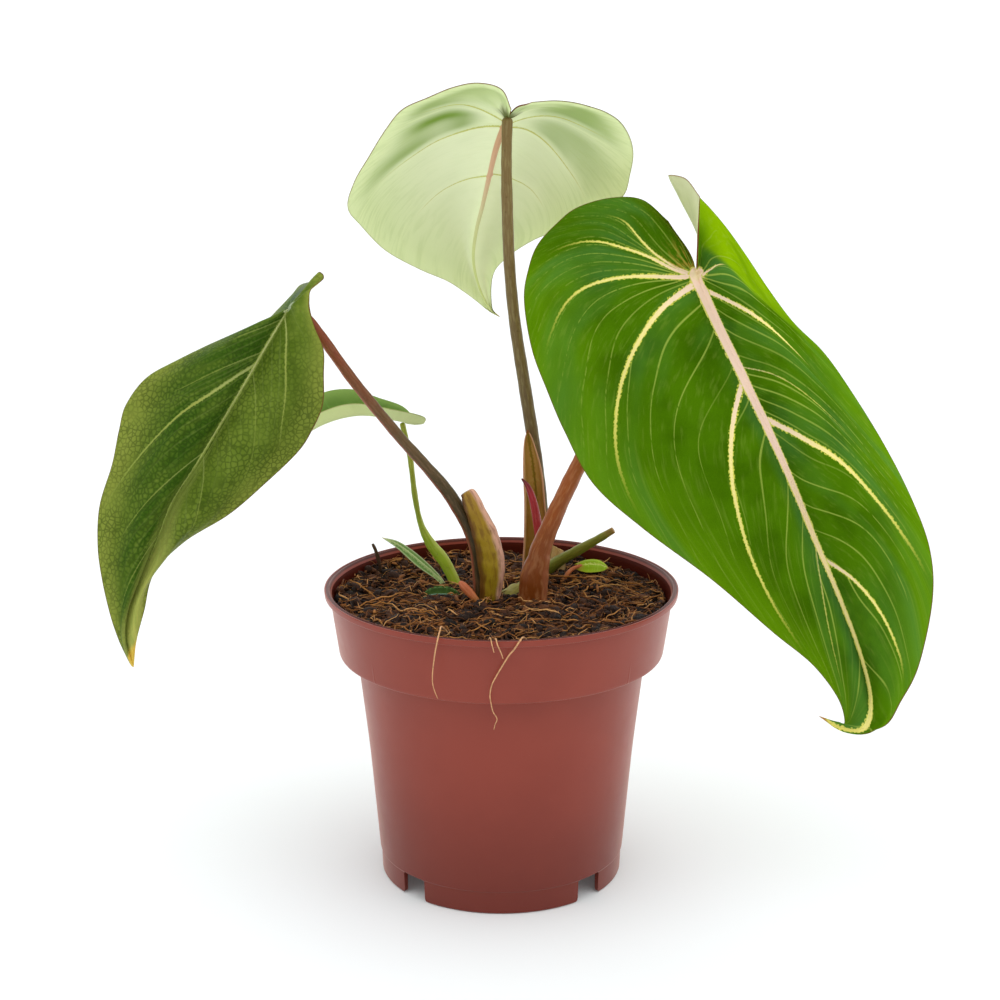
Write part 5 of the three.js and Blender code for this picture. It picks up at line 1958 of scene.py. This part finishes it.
class Greens:
    """The finishes of the blades."""

    right = UpperFinish(
        "right_leaf_upper", deep="#3a6003", fresh="#4a7506", edge_green="#669409",
        line="#a8bc50", vein="#d0d050", heart="#f8e894", rib_side="#dcd868", fold="#84ac04",
        rib_stops=((0, "#fcdcc4"), (0.3, "#fcdcc8"), (0.46, "#fce4b0"), (0.7, "#f8ec9c"), (1, "#e0d864")),
        rim="#744424", tip="#b88434", notch="#465008", joint="#f0dcb0", lined=1.0, satined=0.42,
        folded=0.95, shine=0.0, source="#fce0c4", tip_from=0.965,
    )
    left = UpperFinish(
        "left_leaf_upper", deep="#50661a", fresh="#687c2a", edge_green="#8e9840",
        line="#7c8c48", vein="#8c9c48", heart="#a0a450", source="#b0b870", rib_side="#98a850",
        rib_stops=((0, "#ccd090"), (0.5, "#c4c87c"), (1, "#c8b860")),
        rim="#6a3c28", tip="#d8b84c", notch="#5a6a5c", joint="#9caa88", inner_share=0.9, lined=0.3,
        net=0.55, band=0.7, pale_band="#c8c868", shine=0.02,
    )
    # The mid blade's underside is pale green of its own, and its colours are lightened further as painted
    # light shining through the blade.
    mid = UnderFinish(
        "mid_leaf_under", centre="#f8fed4", patch="#80a040", outer="#ecf8bc", thread="#acc468",
        vein="#c8c850", rim="#8c7840", patched=1.0, footed=0.9,
        rib_stops=((0, "#d8a880"), (0.25, "#e4b898"), (0.42, "#e0dca8"), (0.6, "#dce49c"), (1, "#d0dc88")),
    )
    right_under = UnderFinish(
        "right_leaf_under", centre="#dcdcb4", patch="#b4c078", outer="#d4d8a8", thread="#b8bc80",
        vein="#e8e4c0", rib_stops=((0, "#e0b890"), (1, "#d8d098")), rim="#98604c", patched=0.4,
    )
    pale = UnderFinish(
        "young_leaf_under", centre="#dce4ac", patch="#c4d48c", outer="#dce8a8", thread="#bccc84",
        vein="#e8e8c8", rib_stops=((0, "#dcdcb0"), (1, "#e0dcb0")), rim="#b4a878", patched=0.4,
    )
    young = UpperFinish(
        "young_leaf_upper", deep="#5a7c34", fresh="#6c8c40", edge_green="#8ca85c",
        line="#7fae5c", vein="#9cba70", heart="#b4c888", rib_side="#a8c070",
        rib_stops=((0, "#b8c878"), (1, "#c8cc98")), rim="#8a9a50", tip="#c0b878", notch="#6a8c48",
        joint="#a8bc60",
    )
    seedling = UpperFinish(
        "seedling_leaf_upper", deep="#8cb020", fresh="#a8cc34", edge_green="#a4c430",
        line="#c8dc60", vein="#c8dc70", heart="#d0e080", rib_side="#c8d870",
        rib_stops=((0, "#a8b840"), (1, "#c0cc60")), rim="#a0a030", tip="#c0b050", notch="#a0b030",
        joint="#a09c38",
    )
    pointed = UpperFinish(
        "pointed_leaf_upper", deep="#5c8040", fresh="#6c9050", edge_green="#90ac64",
        line="#9cb46c", vein="#9cb46c", heart="#a8bc80", rib_side="#a8bc78",
        rib_stops=((0, "#b0c084"), (1, "#c0cc98")), rim="#c0c8a0", tip="#d0c8a0", notch="#90a860",
        joint="#90a860",
    )
    curled = UpperFinish(
        "curled_leaf_upper", deep="#22380f", fresh="#2c4416", edge_green="#3c5424",
        line="#5c7c40", vein="#5c7c40", heart="#6c8c50", rib_side="#5c7c40",
        rib_stops=((0, "#6c8450"), (1, "#5c7440")), rim="#90b0a0", tip="#7c9c80", notch="#3c5c20",
        joint="#3c5c20",
    )
    sheath = UpperFinish(
        "mid_sheath_inside", deep="#9c7430", fresh="#b08844", edge_green="#f0c49c",
        line="#b4a050", vein="#b4a050", heart="#b4a050", rib_side="#8c7424",
        rib_stops=((0, "#5c5018"), (1, "#7c6024")), rim="#d09c84", tip="#8c5430", notch="#7c7430",
        joint="#6c5c20",
    )
    scale = UpperFinish(
        "old_scale_inside", deep="#e0b880", fresh="#ecc898", edge_green="#f0d0a0",
        line="#f0d4a8", vein="#f0d4a8", heart="#f0d4a8", rib_side="#d8b07c",
        rib_stops=((0, "#c89c68"), (1, "#d8b07c")), rim="#a47848", tip="#e0b884", notch="#d8ac74",
        joint="#c89c68", gloss=0.7,
    )


class Barks:
    """The finishes of the stalks and shoots."""

    right = StalkFinish(
        "orange_stalk", ((0, "#b87a44"), (0.3, "#ac6434"), (0.65, "#904a1a"), (1, "#6c3408")), "#c89060",
        streaked=0.28, specked=0.12, gloss=0.35, facing="#c07c5c", faced=0.3,
    )
    mid = StalkFinish(
        "olive_stalk", ((0, "#7c6438"), (0.5, "#6c5a34"), (0.72, "#604c2c"), (1, "#5c4828")), "#a09460",
        streaked=0.35,
    )
    left = StalkFinish(
        "dark_stalk",
        ((0, "#843c24"), (0.22, "#744024"), (0.42, "#604a2c"), (0.6, "#4a3c20"), (1, "#2c2810")), "#8c6a4c",
        streaked=0.3, leaning="#b05c44", leaned=0.6,
    )
    left_sheath = StalkFinish(
        "swollen_sheath", ((0, "#a07c30"), (0.25, "#a07e1c"), (0.6, "#a48a1c"), (1, "#846c14")), "#64380f",
        streaked=0.55, specked=0.3, facing="#dcaa94", faced=0.9, leaning="#5c3414", leaned=0.85,
    )
    # the pale colour of its right side is a painted highlight
    young = StalkFinish(
        "young_stalk",
        ((0, "#8a9028"), (0.45, "#7c8a18"), (0.72, "#98b428"), (0.9, "#a8c434"), (1, "#b0a040")), "#b4bc5c",
        streaked=0.35, facing="#c4cc6c", faced=0.5,
    )
    red = StalkFinish(
        "red_shoot_skin", ((0, "#4c1820"), (0.12, "#a42c34"), (0.5, "#a83434"), (1, "#8c3424")), "#c86058",
        streaked=0.35, gloss=0.3,
    )
    cut = StalkFinish(
        "cut_stalk", ((0, "#a8784c"), (0.05, "#8c7434"), (0.14, "#80842c"), (1, "#6c7024")), "#a09c4c",
        streaked=0.35, speck="#7c4c24",
    )
    bud = StalkFinish(
        "bud_scale_skin", ((0, "#b8603c"), (0.4, "#b46438"), (0.75, "#8c6428"), (1, "#646020")), "#dc9468",
        streaked=0.3,
    )
    twig = StalkFinish(
        "dry_wood", ((0, "#4c3420"), (1, "#3c2818")), "#6c5038", gloss=0.8, relief=0.12,
    )
    rhizome = StalkFinish(
        "rhizome_skin", ((0, "#a4a048"), (0.5, "#9c9440"), (1, "#6c6028")), "#5c5c28",
        speck="#4c3418", specked=0.6, gloss=0.6, relief=0.2,
    )


def hanging(rows: Table, finish: Material, thick: float = 0.62) -> Stalk:
    """Makes a coir fibre that hangs over the pot's rim and thins towards its free end.

    Args:
        rows: Points from its start in the mix to its free end.
        finish: Its material.
        thick: Its thickness in millimetres.

    Returns:
        The fibre.
    """
    table = [(*row, thick / 2 * (1 - 0.6 * k / (len(rows) - 1))) for k, row in enumerate(rows)]
    return Stalk("", table, "potting_mix", finish, sides=6, steps=5, deep=(1, 0, 0))


def materials(finishes: type) -> dict[str, Material]:
    """Builds all the finishes that a class holds, by their names there."""
    return {name: finish.material() for name, finish in vars(finishes).items() if name[0] != "_"}


class Plant:
    """All the living and dry pieces that stand in the pot."""

    def blades(self) -> list[Blade]:
        """Lists the leaves, from the biggest.

        Returns:
            The blades.
        """
        green = materials(Greens)
        pale = green["pale"]
        small = dict(steps=12, across=12, thick=0.4, rib_width=0.25)
        return [
            Blade(
                "right_blade", RIGHT_BLADE, "right_leaf", green["right"], green["right_under"],
                RIGHT_VEINS, 3.0, 0.44, 0.9,
            ),
            Blade(
                "left_blade", LEFT_BLADE, "dark_leaf", green["left"], pale,
                LEFT_VEINS, 0.8, 0.6, 0.6, across=44,
            ),
            Blade(
                "mid_blade", MID_BLADE, "pale_leaf", green["right"], green["mid"],
                MID_VEINS, 1.3, 1.3, 0.7, across=44,
            ),
            Blade("young_blade", YOUNG_BLADE, "young_green", green["young"], pale, across=24, thick=0.45),
            Blade("mid_sheath", MID_SHEATH, "sheath", green["sheath"], green["sheath"], **small),
            Blade("seedling_leaf", SEEDLING_LEAF, "young_green", green["seedling"], pale, **small),
            Blade("pointed_leaf", POINTED_LEAF, "young_green", green["pointed"], green["pointed"], **small),
            Blade("curled_leaf", CURLED_LEAF, "dark_leaf", green["curled"], pale, **small),
            Blade("old_scale", OLD_SCALE, "dry_scale", green["scale"], green["scale"], **small),
        ]

    def stalks(self) -> list[Stalk]:
        """Lists the stalks and shoots.

        Returns:
            The stalks.
        """
        bark = materials(Barks)
        return [
            LeafSheath(
                "right_petiole", RIGHT_PETIOLE, "orange_stalk", bark["right"], lumps=0.12, start=0.055,
                lap=0.5, lap_turn=-1.1, lap_start=0.66, lap_lean=-0.5,
            ),
            Stalk("mid_petiole", MID_PETIOLE, "olive_stalk", bark["mid"], lumps=0.06, start=0.014),
            Stalk("left_petiole", LEFT_PETIOLE, "dark_stalk", bark["left"], lumps=0.08, start=0.09),
            LeafSheath("left_sheath", LEFT_SHEATH, "sheath", bark["left_sheath"], dome=0.25, lumps=0.15),
            Stalk("young_petiole", YOUNG_PETIOLE, "young_green", bark["young"], lumps=0.08),
            Stalk("cut_petiole", CUT_PETIOLE, "olive_stalk", bark["cut"], lumps=0.1, dome=0.15),
            Stalk("red_shoot", RED_SHOOT, "red_shoot", bark["red"]),
            Stalk("bud_scale", BUD_SCALE, "bud_scale", bark["bud"], lumps=0.1),
            Stalk("dry_twig", DRY_TWIG, "dry_twig", bark["twig"], sides=16, lumps=0.2),
            Stalk("rhizome", RHIZOME, "rhizome", bark["rhizome"], lumps=0.8),
            Stalk("seedling_leaf", SEEDLING_STEM, "young_green", bark["bud"], 16, piece="seedling_stem"),
        ]


HANGING_FIBRES = {
    "hanging_fibre_left": (
        (-16, -42, 97), (-18.8, -46.9, 102), (-19.3, -52.9, 102.6), (-19.8, -58.6, 101.9),
        (-20.5, -59.4, 98.6), (-21.2, -57.3, 93.6), (-21.6, -56.6, 89.7), (-21.6, -56.2, 86.5),
        (-21, -56, 83.8), (-20.1, -55.9, 81.4),
    ),
    "hanging_fibre_front": (
        (9, -50, 97), (7, -56, 101.6), (5.6, -60.6, 101.8), (3.9, -59.9, 98.9), (2.4, -59.0, 96.8),
        (0.5, -58.4, 93.4), (-1.4, -58, 89.9), (-3, -57.4, 86.4), (-3.6, -56.8, 82.8), (-3.3, -56.2, 80),
        (-2.7, -54.4, 76.4), (-1.4, -53.5, 73.6), (-2, -53.2, 71.6), (-2.4, -53, 69.8),
    ),
    "hanging_fibre_short": ((-5, -52, 97), (-3.6, -57.7, 102), (-2.9, -61, 100.6), (-2.3, -60.5, 98.2)),
    "hanging_fibre_tip": (
        (-3, -53, 97), (-1.9, -58.5, 102), (-1.2, -60.9, 100.7), (-0.1, -60.3, 97.9), (0.5, -59.4, 95.8),
    ),
}


# ------------------------------------------------------------------ everything


def main() -> None:
    """Builds the potted plant and its studio."""
    logging.basicConfig(level=logging.INFO, format="%(name)s: %(message)s")
    shop = Workshop()
    # the inside of the pot in darker colours: painted shade
    lining_shade = {"body": "#4c1a10", "dust": "#54201a", "deep": "#38100a", "lip": "#3c140e"}
    lining = Plastic("shaded_lining_plastic", shine=0.03, sheen=0.0, **lining_shade)
    Pot(Plastic().material(shop.placement), lining.material(shop.placement)).build(shop)

    crumbs, brown, light, loose = (
        FibreFinish(name, tones, gloss).material()
        for name, gloss, tones in (
            ("peat_crumbs", 0.75, ((0, "#0a0402"), (0.45, "#221007"), (0.8, "#44240f"), (1, "#784824"))),
            ("brown_coir", 0.75, ((0, "#1c0d05"), (0.5, "#5c3416"), (0.85, "#9c6230"), (1, "#c08848"))),
            ("light_coir", 0.6, ((0, "#7c4a20"), (0.5, "#b07434"), (1, "#e0a868"))),
            ("loose_coir", 0.6, ((0, "#d8a474"), (1, "#d8a474"))),
        )
    )
    layers = (
        Strands("mix_clods", crumbs, 900, 3.6, 2.6, 1.0, 0.2, 0.5, points=5, sides=6, seed=3),
        Strands("mix_crumbs", crumbs, 3800, 1.5, 1.1, 0.5, 0.7, 0.9, points=4, sides=5, seed=11),
        Strands("mix_chips", brown, 520, 5.0, 1.2, 1.6, 0.9, 0.35, points=5, sides=3, seed=17),
        Strands("mix_coarse_coir", brown, 800, 7.0, 0.5, 3.0, 1.1, 0.3, points=9, sides=5, seed=5),
        Strands("mix_fine_coir", light, 440, 7.5, 0.24, 4.0, 1.5, 0.35, points=10, sides=3, seed=7),
        Strands("mix_long_coir", light, 60, 13.0, 0.42, 3.0, 2.2, 0.25, points=12, sides=5, seed=23),
    )
    PottingMix(Peat().material(), layers).build(shop)

    plant = Plant()
    for piece in (*plant.stalks(), *plant.blades()):
        piece.build(shop)
    for name, rows in HANGING_FIBRES.items():
        shop.install(shop.make(name, hanging(rows, loose).skin(), [loose]), "potting_mix")
    Studio().build(shop.placement)

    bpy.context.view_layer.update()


if __name__ == "__main__":
    main()
